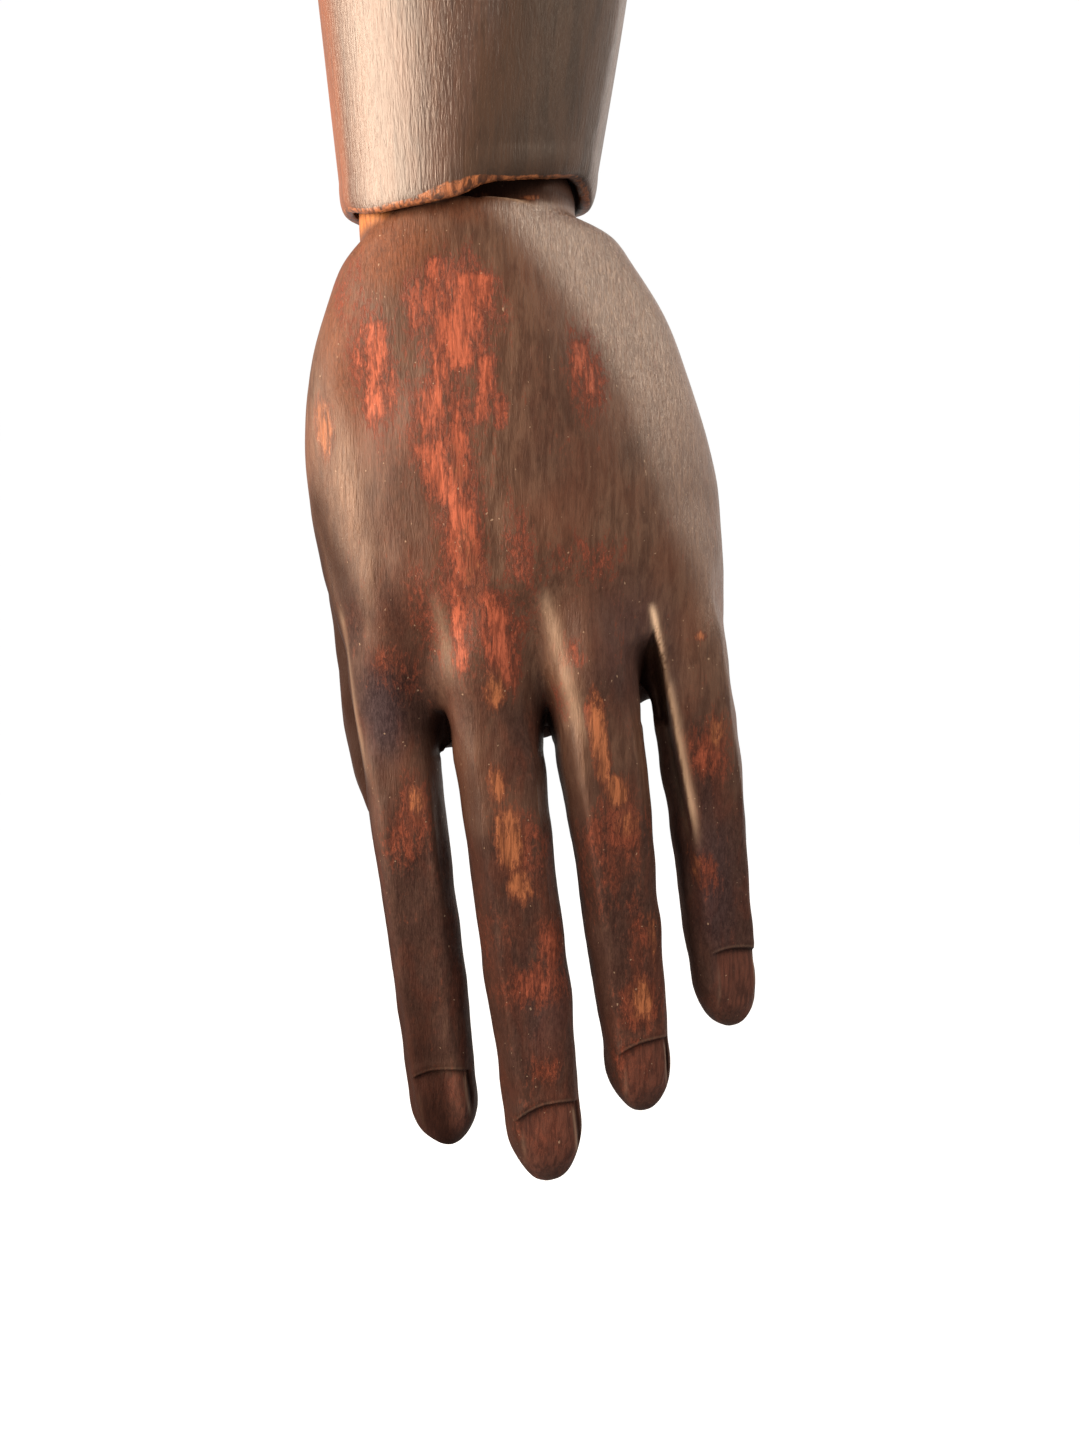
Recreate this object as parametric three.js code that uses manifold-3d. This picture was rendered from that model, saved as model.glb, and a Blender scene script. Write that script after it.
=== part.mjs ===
// The left forearm and hand of a life-size artist's lay figure, carved in wood.
// The hand nods on a cross peg through a wooden tongue, inside a cup at the end of the forearm.
// The tongue is the foot of a spindle that turns in the forearm, and the forearm bends on a second
// tongue at the elbow, whose spindle plugs into an upper arm.
// Millimetres, +Z up. The origin is the middle of the elbow spindle's flat top.
// +X is the little-finger side and -Y the back of the hand.
import * as THREE from 'three';
import { mergeVertices } from 'three/addons/utils/BufferGeometryUtils.js';
import Module from 'manifold-3d';

const wasm = await Module();
wasm.setup();

// Clearances
const FIT_GAP = 0.3; // between a piece and its seat
const CUP_GAP = 0.7; // between the wrist knuckle and its cup
const COLLAR_GAP = 1.2; // between a tongue's collar and the knuckle that turns under it

// Elbow joint
const ELBOW_BALL_R = 29;
const ELBOW_TONGUE_R = 12;
const ELBOW_TONGUE_THICK = 18;
const ELBOW_PEG_R = 4.5;
const ELBOW_WASHER_R = 11.5;
const ELBOW_WASHER_THICK = 1;
const ELBOW_COLLAR_R = 17;
const ELBOW_COLLAR_THICK = 8;
const ELBOW_COLLAR_LIFT = 8; // above the top of the elbow ball, for the bent forearm
const ELBOW_SHAFT_R = 12;
const ELBOW_SHAFT_LENGTH = 45;
const ELBOW_BEND = THREE.MathUtils.degToRad(95);

// Forearm
const FOREARM_LENGTH = 245; // elbow axis to wrist axis
const WRIST_R = 25.2; // half width just above the rim
const BULGE_R = 38; // half width at the thickest place
const BULGE_HEIGHT = 150; // of the thickest place above the wrist axis
const BULGE_SHIFT = 1.7; // of the thickest place to the little-finger side
const FOREARM_FLATTEN = 0.95; // depth over width
const RIM_HEIGHT = 3.3; // of the cup's rim above the wrist axis
const RIM_WALL = 1.5;
const RIM_ROUND = 6; // height over which the rim rounds in
const RIM_SLANT = 2; // fall of the rim to the back of the hand and the thumb side
const RIM_LOW = THREE.MathUtils.degToRad(230); // where round the arm it is lowest
const RIM_SLANT_FADE = 40; // height over which the slant dies out

// Wrist joint
const WRIST_KNUCKLE_R = 21.6; // ball that rounds the ends of the knuckle
const WRIST_BARREL_R = 15; // knuckle's radius about the wrist peg
const WRIST_TONGUE_R = 8;
const WRIST_TONGUE_THICK = 16;
const WRIST_PEG_R = 3.2;
const WRIST_COLLAR_R = 14;
const WRIST_COLLAR_THICK = 4;
const WRIST_WASHER_THICK = 2;
const WRIST_SHAFT_R = 9;
const WRIST_SHAFT_LENGTH = 62;
const WRIST_NOD_BACK = THREE.MathUtils.degToRad(8);
const WRIST_NOD_PALM = THREE.MathUtils.degToRad(30);
const SLOT_SPARE = THREE.MathUtils.degToRad(3); // past each limit of a hinge

// Retaining grooves and pegs
const GROOVE_WIDTH = 7;
const GROOVE_DEPTH = 3;
const GROOVE_FROM_END = 20; // of the groove's middle from the shaft's end
const SWIVEL_PEG_R = 3;

// Hand, in its own frame: across to the little finger, deep to the palm, down to the fingertips
const HAND_LEAN = THREE.MathUtils.degToRad(7); // of the fingers to the little-finger side
const PALM_LENGTH = 101; // wrist axis to the webs between the fingers
const PALM_HALF_THUMB = 37.4; // from the hand's centre line to the thumb-side edge
const PALM_HALF_LITTLE = 42.8;
const PALM_BACK = 18;
const PALM_FRONT = 18;
const ARCH_THUMB = 3; // drop of the hand's arch at each edge
const ARCH_LITTLE = 9;
const KNUCKLE_DOWN = 58; // where the fingers' roots begin inside the hand
const KNUCKLE_FULL = 88; // where they reach the finger's full width
const KNUCKLE_SINK = 1.5; // of a finger's root under the back of the hand
const ROOT_TAPER = 0.45; // of a finger's root over its full width
const WEB_START = 81; // where the palm's end starts to slope to the webs
const WEB_RISE = 11.2; // of the palm's end towards the little finger
const SHOULDER_DROP = 2.8; // of the palm's top corner under the rim, on the little-finger side
const SHOULDER_DOWN = 9; // where that drop fades out
const FINGER_CURL = 5; // of a fingertip to the palm side
// From the first finger to the little one; roll turns each finger's back towards the little-finger side.
const FINGERS = [
  { across: -25.4, deep: -2.8, length: 77.3, base: 15.3, tip: 13.8, roll: -3 },
  { across: -6.4, deep: -4.5, length: 85.5, base: 17.6, tip: 15.6, roll: 6 },
  { across: 13.2, deep: -4.5, length: 74.5, base: 17.8, tip: 13.5, roll: 14 },
  { across: 32.6, deep: -1.8, length: 61.3, base: 16.4, tip: 13.8, roll: 24 },
];
const FINGER_FLATTEN = 0.88; // depth over width
const FINGER_THIN = 0.16; // of that depth lost at the tip
const TIP_START = 0.8; // of a finger's length, where its width has come down to the tip's
const TAPER_EARLY = 0.7; // under 1 takes more of the taper near the root
const PALM_FULLNESS = 2.25; // of the palm's section, where 2 is an ellipse
const WEB_FULLNESS = 3.2; // of its section at the webs
const FINGER_FULLNESS = 2.4;
const TIP_ROUND = 0.85; // length of the rounded tip over the finger's width
const TIP_STEPS = [0.02, 0.1, 0.25, 0.45, 0.7, 1]; // of the rings along the rounded tip
const THUMB_TIP_SHARE = 0.1; // of the thumb's curve in its rounded tip
const THUMB_FLATTEN = 0.92;

// Thumb, along a curve beside the palm, with its half width at each point
const THUMB = [
  { across: -11, deep: 1, down: 12, half: 8 },
  { across: -18.5, deep: 7, down: 34, half: 12.8 },
  { across: -24.5, deep: 14.5, down: 56, half: 12.6 },
  { across: -28.4, deep: 21, down: 78, half: 10 },
  { across: -29.2, deep: 23.5, down: 100, half: 9.2 },
  { across: -27.5, deep: 23, down: 125, half: 7.6 },
];

// Facets
const LIMB_SIDES = 40;
const LIMB_RING_COUNT = 16;
const FINGER_SIDES = 18;
const FINGER_RING_COUNT = 8;
const ROUND_SIDES = 32;
const PEG_SIDES = 20;
const CURVE_SIDES = 24;

// Sizes that follow
const REACH = 3 * BULGE_R; // past the outside of any limb, for cutters
const CUP_R = WRIST_KNUCKLE_R + CUP_GAP;
const RIM_R = Math.sqrt(CUP_R ** 2 - RIM_HEIGHT ** 2) + RIM_WALL;
const ELBOW_SLOT_HALF = ELBOW_TONGUE_THICK / 2 + ELBOW_WASHER_THICK + 2 * FIT_GAP;
const ELBOW_COLLAR_Z = ELBOW_BALL_R + ELBOW_COLLAR_LIFT;
const ELBOW_SHAFT_Z = ELBOW_COLLAR_Z + ELBOW_COLLAR_THICK;
const ELBOW_TOP_Z = ELBOW_SHAFT_Z + ELBOW_SHAFT_LENGTH;
const WRIST_COLLAR_Z = WRIST_BARREL_R + COLLAR_GAP;
const WRIST_SHAFT_Z = WRIST_COLLAR_Z + WRIST_COLLAR_THICK;
const WRIST_WASHER_Z = WRIST_SHAFT_Z + FIT_GAP;
const WRIST_SEAT_Z = WRIST_WASHER_Z + WRIST_WASHER_THICK + FIT_GAP;
const WRIST_TOP_Z = WRIST_SHAFT_Z + WRIST_SHAFT_LENGTH;
const WRIST_GROOVE_Z = WRIST_TOP_Z - GROOVE_FROM_END;
const SWIVEL_PEG_ACROSS = WRIST_SHAFT_R - GROOVE_DEPTH + SWIVEL_PEG_R + FIT_GAP;

// Solids

function solidOf(geometry) {
  geometry.deleteAttribute('normal');
  geometry.deleteAttribute('uv');
  const welded = mergeVertices(geometry, 1e-4);
  const vertProperties = new Float32Array(welded.attributes.position.array);
  const triVerts = new Uint32Array(welded.index.array);
  return new wasm.Manifold(new wasm.Mesh({ numProp: 3, vertProperties, triVerts }));
}

function geometryOf(solid) {
  const mesh = solid.getMesh();
  const geometry = new THREE.BufferGeometry();
  geometry.setAttribute('position', new THREE.BufferAttribute(mesh.vertProperties, mesh.numProp));
  geometry.setIndex(new THREE.BufferAttribute(mesh.triVerts, 1));
  geometry.computeVertexNormals();
  return geometry;
}

// A closed skin over rings of points that climb, each counter-clockwise seen from above.
function skin(rings) {
  const sides = rings[0].length;
  const points = rings.flat();
  const triangles = [];
  for (let ring = 0; ring + 1 < rings.length; ring += 1) {
    for (let side = 0; side < sides; side += 1) {
      const next = (side + 1) % sides;
      const low = ring * sides;
      const high = low + sides;
      triangles.push(low + side, low + next, high + next);
      triangles.push(low + side, high + next, high + side);
    }
  }
  const middle = (ring) => ring.reduce((sum, p) => sum.add(p), new THREE.Vector3()).divideScalar(sides);
  const foot = points.push(middle(rings[0])) - 1;
  const head = points.push(middle(rings.at(-1))) - 1;
  const top = (rings.length - 1) * sides;
  for (let side = 0; side < sides; side += 1) {
    const next = (side + 1) % sides;
    triangles.push(foot, next, side);
    triangles.push(head, top + side, top + next);
  }
  const geometry = new THREE.BufferGeometry().setFromPoints(points);
  geometry.setIndex(triangles);
  return solidOf(geometry);
}

// Points round an oval whose corners are fuller than an ellipse's as fullness passes 2.
function oval(sides, fullness, place) {
  const bulge = (value) => Math.sign(value) * Math.abs(value) ** (2 / fullness);
  return Array.from({ length: sides }, (_, side) => {
    const angle = (2 * Math.PI * side) / sides;
    return place(bulge(Math.cos(angle)), bulge(Math.sin(angle)));
  });
}

// A smooth curve through rows of [position, ...values].
function through(rows) {
  const positions = rows.map((row) => row[0]);
  const values = rows.flatMap((row) => row.slice(1));
  const curve = new THREE.CubicInterpolant(positions, values, rows[0].length - 1);
  return (position) => Array.from(curve.evaluate(position));
}

function turned(profile, sides) {
  const points = profile.map(([radius, height]) => new THREE.Vector2(radius, height));
  const lathe = new THREE.LatheGeometry(points, sides);
  return solidOf(lathe.rotateX(Math.PI / 2));
}

function rod(radius, from, to, sides) {
  return turned([[0, from], [radius, from], [radius, to], [0, to]], sides);
}

function ball(radius) {
  const sphere = new THREE.SphereGeometry(radius, LIMB_SIDES, LIMB_SIDES / 2);
  return solidOf(sphere.rotateX(Math.PI / 2));
}

function plate(shape, thick) {
  const settings = { depth: thick, bevelEnabled: false, curveSegments: CURVE_SIDES };
  const extruded = new THREE.ExtrudeGeometry(shape, settings);
  return solidOf(extruded.translate(0, 0, -thick / 2));
}

// A plate drawn across and up, lying across Y.
function plateAcrossY(shape, thick) {
  return plate(shape, thick).rotate([90, 0, 0]);
}

// A plate drawn deep and up, lying across X.
function plateAcrossX(shape, thick) {
  return plate(shape, thick).rotate([90, 0, 90]);
}

// A tongue's outline: a round end about the hinge, and straight sides up to the collar.
function tongueOutline(radius, top) {
  const outline = new THREE.Shape();
  outline.moveTo(radius, top);
  outline.lineTo(-radius, top);
  outline.lineTo(-radius, 0);
  outline.absarc(0, 0, radius, Math.PI, 2 * Math.PI, false);
  return outline;
}

// The room that a tongue sweeps as its limb swings by one angle to each side.
function slotOutline(radius, swingRight, swingLeft) {
  const outline = new THREE.Shape();
  const right = new THREE.Vector2(Math.sin(swingRight), Math.cos(swingRight)).multiplyScalar(REACH);
  const left = new THREE.Vector2(-Math.sin(swingLeft), Math.cos(swingLeft)).multiplyScalar(REACH);
  const start = new THREE.Vector2(Math.cos(swingRight), -Math.sin(swingRight)).multiplyScalar(radius);
  const end = new THREE.Vector2(-Math.cos(swingLeft), -Math.sin(swingLeft)).multiplyScalar(radius);
  outline.moveTo(start.x + right.x, start.y + right.y);
  outline.lineTo(start.x, start.y);
  outline.absarc(0, 0, radius, -swingRight, swingLeft - Math.PI, true);
  outline.lineTo(end.x + left.x, end.y + left.y);
  outline.lineTo(-REACH, REACH);
  outline.lineTo(Math.max(0, start.x + right.x), REACH);
  return outline;
}

// A spindle: a tongue, its collar, and a shaft with a groove for retaining pegs.
function spindle(tongue, collarRadius, collarZ, shaftRadius, shaftZ, topZ) {
  const grooveZ = topZ - GROOVE_FROM_END;
  const grooveRadius = shaftRadius - GROOVE_DEPTH;
  const post = turned([
    [0, collarZ],
    [collarRadius, collarZ],
    [collarRadius, shaftZ],
    [shaftRadius, shaftZ],
    [shaftRadius, grooveZ - GROOVE_WIDTH / 2],
    [grooveRadius, grooveZ - GROOVE_WIDTH / 2],
    [grooveRadius, grooveZ + GROOVE_WIDTH / 2],
    [shaftRadius, grooveZ + GROOVE_WIDTH / 2],
    [shaftRadius, topZ],
    [0, topZ],
  ], ROUND_SIDES);
  return post.add(tongue);
}

// Elbow, about the elbow axis

function elbowTongue() {
  const outline = tongueOutline(ELBOW_TONGUE_R, ELBOW_SHAFT_Z - ELBOW_COLLAR_THICK / 2);
  const tongue = plateAcrossY(outline, ELBOW_TONGUE_THICK);
  const made = spindle(tongue, ELBOW_COLLAR_R, ELBOW_COLLAR_Z, ELBOW_SHAFT_R, ELBOW_SHAFT_Z, ELBOW_TOP_Z);
  return made.subtract(rodAlongY(ELBOW_PEG_R + FIT_GAP, REACH));
}

function rodAlongY(radius, length) {
  return rod(radius, -length / 2, length / 2, PEG_SIDES).rotate([90, 0, 0]);
}

function rodAlongX(radius, length) {
  return rod(radius, -length / 2, length / 2, PEG_SIDES).rotate([0, 90, 0]);
}

function elbowWasher(side) {
  const inside = ELBOW_TONGUE_THICK / 2 + FIT_GAP;
  const disc = rod(ELBOW_WASHER_R, inside, inside + ELBOW_WASHER_THICK, ROUND_SIDES);
  const holed = disc.subtract(rod(ELBOW_PEG_R + FIT_GAP, 0, REACH, PEG_SIDES));
  return holed.rotate([side * 90, 0, 0]);
}

// Forearm, about the elbow axis

// Half width of the forearm at a height above the wrist axis.
function forearmHalf(height) {
  if (height < RIM_HEIGHT + RIM_ROUND) {
    const share = (height - RIM_HEIGHT) / RIM_ROUND;
    return RIM_R + (WRIST_R - RIM_R) * Math.sqrt(1 - (1 - share) ** 2);
  }
  if (height < BULGE_HEIGHT) {
    const share = (height - RIM_HEIGHT - RIM_ROUND) / (BULGE_HEIGHT - RIM_HEIGHT - RIM_ROUND);
    return WRIST_R + (BULGE_R - WRIST_R) * Math.sin((share * Math.PI) / 2);
  }
  if (height < FOREARM_LENGTH) {
    const share = (height - BULGE_HEIGHT) / (FOREARM_LENGTH - BULGE_HEIGHT);
    return ELBOW_BALL_R + (BULGE_R - ELBOW_BALL_R) * Math.cos((share * Math.PI) / 2);
  }
  const above = Math.min(height - FOREARM_LENGTH, ELBOW_BALL_R);
  return Math.sqrt(ELBOW_BALL_R ** 2 - above ** 2);
}

function forearmRing(height) {
  const half = forearmHalf(height);
  const fullest = Math.max(0, Math.sin((Math.PI * height) / FOREARM_LENGTH));
  const shift = height < FOREARM_LENGTH ? BULGE_SHIFT * fullest : 0;
  const faded = THREE.MathUtils.smoothstep(height, RIM_HEIGHT, RIM_HEIGHT + RIM_SLANT_FADE);
  const slant = RIM_SLANT * (1 - faded);
  return oval(LIMB_SIDES, 2, (x, y) => new THREE.Vector3(
    shift + half * x,
    half * FOREARM_FLATTEN * y,
    height - FOREARM_LENGTH - slant * (x * Math.cos(RIM_LOW) + y * Math.sin(RIM_LOW)),
  ));
}

function forearmOutside() {
  const heights = [0, 0.12, 0.35, 0.7, 1].map((share) => RIM_HEIGHT + share * RIM_ROUND);
  for (let step = 1; step <= LIMB_RING_COUNT; step += 1) {
    const from = RIM_HEIGHT + RIM_ROUND;
    heights.push(from + ((FOREARM_LENGTH - from) * step) / LIMB_RING_COUNT);
  }
  for (const share of [0.2, 0.4, 0.58, 0.74, 0.87, 0.96]) {
    heights.push(FOREARM_LENGTH + share * ELBOW_BALL_R);
  }
  return skin(heights.map(forearmRing));
}

function elbowSlot() {
  const radius = ELBOW_TONGUE_R + FIT_GAP;
  return plateAcrossY(slotOutline(radius, 0, ELBOW_BEND + SLOT_SPARE), 2 * ELBOW_SLOT_HALF);
}

function swivelPegRoom(side, radius) {
  const room = rodAlongY(radius, REACH);
  return room.translate([side * SWIVEL_PEG_ACROSS, 0, WRIST_GROOVE_Z - FOREARM_LENGTH]);
}

function forearm() {
  const pocketRadius = WRIST_COLLAR_R + FIT_GAP;
  const boreRadius = WRIST_SHAFT_R + FIT_GAP;
  const cup = ball(CUP_R)
    .add(rod(pocketRadius, 0, WRIST_SEAT_Z, ROUND_SIDES))
    .add(rod(boreRadius, 0, WRIST_TOP_Z + FIT_GAP, ROUND_SIDES))
    .translate([0, 0, -FOREARM_LENGTH]);
  return forearmOutside()
    .subtract(cup)
    .subtract(elbowSlot())
    .subtract(rodAlongY(ELBOW_PEG_R + FIT_GAP, REACH))
    .subtract(swivelPegRoom(-1, SWIVEL_PEG_R + FIT_GAP))
    .subtract(swivelPegRoom(1, SWIVEL_PEG_R + FIT_GAP));
}

// A peg driven through the forearm and carved flush with it.
function flushPeg(peg) {
  return peg.intersect(forearmOutside());
}

// Wrist, about the wrist axis

function wristTongue() {
  const outline = tongueOutline(WRIST_TONGUE_R, WRIST_SHAFT_Z - WRIST_COLLAR_THICK / 2);
  const tongue = plateAcrossX(outline, WRIST_TONGUE_THICK);
  const made = spindle(tongue, WRIST_COLLAR_R, WRIST_COLLAR_Z, WRIST_SHAFT_R, WRIST_SHAFT_Z, WRIST_TOP_Z);
  return made.subtract(rodAlongX(WRIST_PEG_R + FIT_GAP, REACH));
}

function wristWasher() {
  const top = WRIST_WASHER_Z + WRIST_WASHER_THICK;
  const disc = rod(WRIST_COLLAR_R, WRIST_WASHER_Z, top, ROUND_SIDES);
  return disc.subtract(rod(WRIST_SHAFT_R + FIT_GAP, 0, REACH, ROUND_SIDES));
}

// Hand, about the wrist axis

// The hand's arch: how far each place across it falls towards the palm.
function archAt(across, down) {
  const grown = Math.min(1, Math.max(0, down / KNUCKLE_DOWN));
  const drop = across < 0 ? ARCH_THUMB : ARCH_LITTLE;
  const half = across < 0 ? PALM_HALF_THUMB : PALM_HALF_LITTLE;
  return grown * drop * (across / half) ** 2;
}

function handPoint(across, deep, down) {
  return new THREE.Vector3(across, deep + archAt(across, down), -down);
}

// At shares of the palm's length: thumb edge, little-finger edge, back, front, and the slant of each face.
function palmSections() {
  const indexEdge = FINGERS[0].base / 2 - FINGERS[0].across;
  const littleEdge = FINGERS[3].across + FINGERS[3].base / 2;
  const top = WRIST_KNUCKLE_R;
  const thumb = PALM_HALF_THUMB;
  const little = PALM_HALF_LITTLE;
  return through([
    [0, 0.94 * top, 0.94 * top, 1.06 * PALM_BACK, 0.85 * PALM_FRONT, 0, 0.45],
    [0.03, 0.645 * thumb, 0.6 * little, 1.08 * PALM_BACK, 0.92 * PALM_FRONT, 0, 0.42],
    [0.08, 0.725 * thumb, 0.685 * little, 1.07 * PALM_BACK, 0.95 * PALM_FRONT, 0, 0.36],
    [0.18, 0.85 * thumb, 0.81 * little, 1.03 * PALM_BACK, 0.97 * PALM_FRONT, 0, 0.2],
    [0.32, 0.96 * thumb, 0.915 * little, PALM_BACK, PALM_FRONT, 0, 0],
    [0.5, thumb, little, 0.94 * PALM_BACK, PALM_FRONT, 0, 0],
    [0.7, 0.95 * thumb, 0.99 * little, 0.83 * PALM_BACK, 0.9 * PALM_FRONT, 0.1, 0.1],
    [0.85, indexEdge + 0.6, littleEdge, 0.69 * PALM_BACK, 0.72 * PALM_FRONT, 0.35, 0.3],
    [0.95, indexEdge - 1, littleEdge - 4, 0.56 * PALM_BACK, 0.55 * PALM_FRONT, 0.45, 0.4],
    [0.985, indexEdge - 4, littleEdge - 9, 0.3 * PALM_BACK, 0.33 * PALM_FRONT, 0.45, 0.4],
  ]);
}

function palmFullness(down) {
  const flat = THREE.MathUtils.smoothstep(down, KNUCKLE_DOWN, KNUCKLE_FULL);
  return THREE.MathUtils.lerp(PALM_FULLNESS, WEB_FULLNESS, flat);
}

// How far the back of the palm stands from its middle, at a place across and down it.
function palmBack(across, down) {
  const [thumbEdge, littleEdge, back] = palmSections()(down / PALM_LENGTH);
  const share = Math.abs(across) / (across < 0 ? thumbEdge : littleEdge);
  const fullness = palmFullness(down);
  return back * (1 - share ** fullness) ** (1 / fullness);
}

function palm() {
  const sections = palmSections();
  const shares = [0, 0.012, 0.03, 0.08, 0.14, 0.22, 0.32, 0.42, 0.52, 0.62, 0.71, 0.79, 0.86, 0.91];
  shares.push(0.95, 0.97, 0.985);
  const ring = (share) => {
    const down = share * PALM_LENGTH;
    const [thumbEdge, littleEdge, back, front, slantBack, slantFront] = sections(share);
    const nearWebs = Math.max(0, (down - WEB_START) / (PALM_LENGTH - WEB_START));
    const nearWrist = Math.max(0, 1 - down / SHOULDER_DOWN);
    return oval(LIMB_SIDES, palmFullness(down), (x, y) => {
      const across = x * (x < 0 ? thumbEdge : littleEdge);
      const deep = y * (y < 0 ? back : front);
      const slant = deep * (y < 0 ? slantBack : slantFront);
      const rise = (WEB_RISE * nearWebs - SHOULDER_DROP * nearWrist) * Math.max(0, x) ** 2;
      return handPoint(across, deep, down + slant - rise);
    });
  };
  return skin(shares.reverse().map(ring));
}

// A finger's place and half sizes at a distance down the hand.
function fingerRing(finger, down) {
  const { across, deep, length, base, tip, roll } = FINGERS[finger];
  const end = PALM_LENGTH + length;
  const along = Math.max(0, (down - PALM_LENGTH) / length);
  const width = base + (tip - base) * Math.min(1, along / TIP_START) ** TAPER_EARLY;
  const tipLength = TIP_ROUND * tip;
  const toEnd = Math.min(1, (end - down) / tipLength);
  const rounding = Math.sqrt(1 - (1 - toEnd) ** 2);
  const grown = THREE.MathUtils.smoothstep(down, KNUCKLE_DOWN, KNUCKLE_FULL);
  const half = (width / 2) * rounding * (ROOT_TAPER + (1 - ROOT_TAPER) * grown);
  const thick = half * FINGER_FLATTEN * (1 - FINGER_THIN * along);
  const turn = THREE.MathUtils.degToRad(roll);
  const rootDeep = thick + KNUCKLE_SINK - palmBack(across, KNUCKLE_DOWN);
  const free = THREE.MathUtils.smoothstep(down, KNUCKLE_DOWN, PALM_LENGTH);
  const middleDeep = rootDeep + (deep - rootDeep) * free + FINGER_CURL * along ** 2;
  const middle = handPoint(across, middleDeep, PALM_LENGTH);
  return oval(FINGER_SIDES, FINGER_FULLNESS, (x, y) => new THREE.Vector3(
    middle.x + half * x * Math.cos(turn) - thick * y * Math.sin(turn),
    middle.y + half * x * Math.sin(turn) + thick * y * Math.cos(turn),
    -down,
  ));
}

function finger(number) {
  const end = PALM_LENGTH + FINGERS[number].length;
  const tipLength = TIP_ROUND * FINGERS[number].tip;
  const downs = TIP_STEPS.map((step) => end - step * tipLength);
  const shaft = end - tipLength - KNUCKLE_DOWN;
  for (let step = 1; step <= FINGER_RING_COUNT; step += 1) {
    downs.push(end - tipLength - (shaft * step) / FINGER_RING_COUNT);
  }
  return skin(downs.map((down) => fingerRing(number, down)));
}

function thumb() {
  const places = THUMB.map((place) => new THREE.Vector3(place.across, place.deep, -place.down));
  const path = new THREE.CatmullRomCurve3(places);
  const halves = through(THUMB.map((place, number) => [number / (THUMB.length - 1), place.half]));
  const shares = [0, 0.1, 0.2, 0.3, 0.4, 0.5, 0.6, 0.7, 0.78, 0.86];
  shares.push(...TIP_STEPS.toReversed().map((step) => 1 - step * THUMB_TIP_SHARE));
  const ring = (share) => {
    const toEnd = Math.min(1, (1 - share) / THUMB_TIP_SHARE);
    const half = halves(share)[0] * Math.sqrt(1 - (1 - toEnd) ** 2);
    const centre = path.getPoint(share);
    return oval(FINGER_SIDES, PALM_FULLNESS, (x, y) => new THREE.Vector3(
      centre.x + half * x,
      centre.y + half * THUMB_FLATTEN * y,
      centre.z,
    ));
  };
  return skin(shares.toReversed().map(ring));
}

function handOutside() {
  const lean = -THREE.MathUtils.radToDeg(HAND_LEAN);
  let carved = palm().add(thumb());
  FINGERS.forEach((_, number) => {
    carved = carved.add(finger(number));
  });
  const knuckle = rodAlongX(WRIST_BARREL_R, 2 * REACH).intersect(ball(WRIST_KNUCKLE_R));
  return carved.rotate([0, lean, 0]).add(knuckle);
}

function hand() {
  const toPalm = WRIST_NOD_PALM + SLOT_SPARE;
  const toBack = WRIST_NOD_BACK + SLOT_SPARE;
  const slot = slotOutline(WRIST_TONGUE_R + FIT_GAP, toPalm, toBack);
  return handOutside()
    .subtract(plateAcrossX(slot, WRIST_TONGUE_THICK + 2 * FIT_GAP))
    .subtract(rodAlongX(WRIST_PEG_R + FIT_GAP, 2 * REACH));
}

function wristPeg() {
  return rodAlongX(WRIST_PEG_R, 2 * REACH).intersect(handOutside());
}

// Finishes

const stainedWood = new THREE.MeshStandardMaterial({ color: '#4a2a20', roughness: 0.55, metalness: 0 });
const paleWood = new THREE.MeshStandardMaterial({ color: '#7d5a45', roughness: 0.5, metalness: 0 });
const bareWood = new THREE.MeshStandardMaterial({ color: '#b4713c', roughness: 0.65, metalness: 0 });
const leather = new THREE.MeshStandardMaterial({ color: '#3a2418', roughness: 0.8, metalness: 0 });

function piece(name, solid, material) {
  const mesh = new THREE.Mesh(geometryOf(solid), material);
  mesh.name = name;
  return mesh;
}

const wristPieces = new THREE.Group();
wristPieces.position.z = -FOREARM_LENGTH;
wristPieces.add(
  piece('wrist_tongue', wristTongue(), bareWood),
  piece('wrist_washer', wristWasher(), leather),
  piece('wrist_peg', wristPeg(), bareWood),
  piece('hand', hand(), stainedWood),
);

const arm = new THREE.Group();
arm.position.z = -ELBOW_TOP_Z;
arm.add(
  piece('elbow_tongue', elbowTongue(), bareWood),
  piece('elbow_peg', flushPeg(rodAlongY(ELBOW_PEG_R, REACH)), bareWood),
  piece('elbow_washer_outer', elbowWasher(1), leather),
  piece('elbow_washer_inner', elbowWasher(-1), leather),
  piece('forearm', forearm(), paleWood),
  piece('swivel_peg_left', flushPeg(swivelPegRoom(-1, SWIVEL_PEG_R)), bareWood),
  piece('swivel_peg_right', flushPeg(swivelPegRoom(1, SWIVEL_PEG_R)), bareWood),
  wristPieces,
);

const part = new THREE.Group();
part.add(arm);

export default part;
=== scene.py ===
# %% [markdown]
# # A carved hand and forearm from an artist's figure
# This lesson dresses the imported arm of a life-size wooden lay figure: a carved left hand, a turned
# forearm, and the pegs, tongues and leather washers that join them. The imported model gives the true
# sizes, places and joints. Everything below is made in millimetres and handed to Blender in metres.

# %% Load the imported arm
import math

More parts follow.
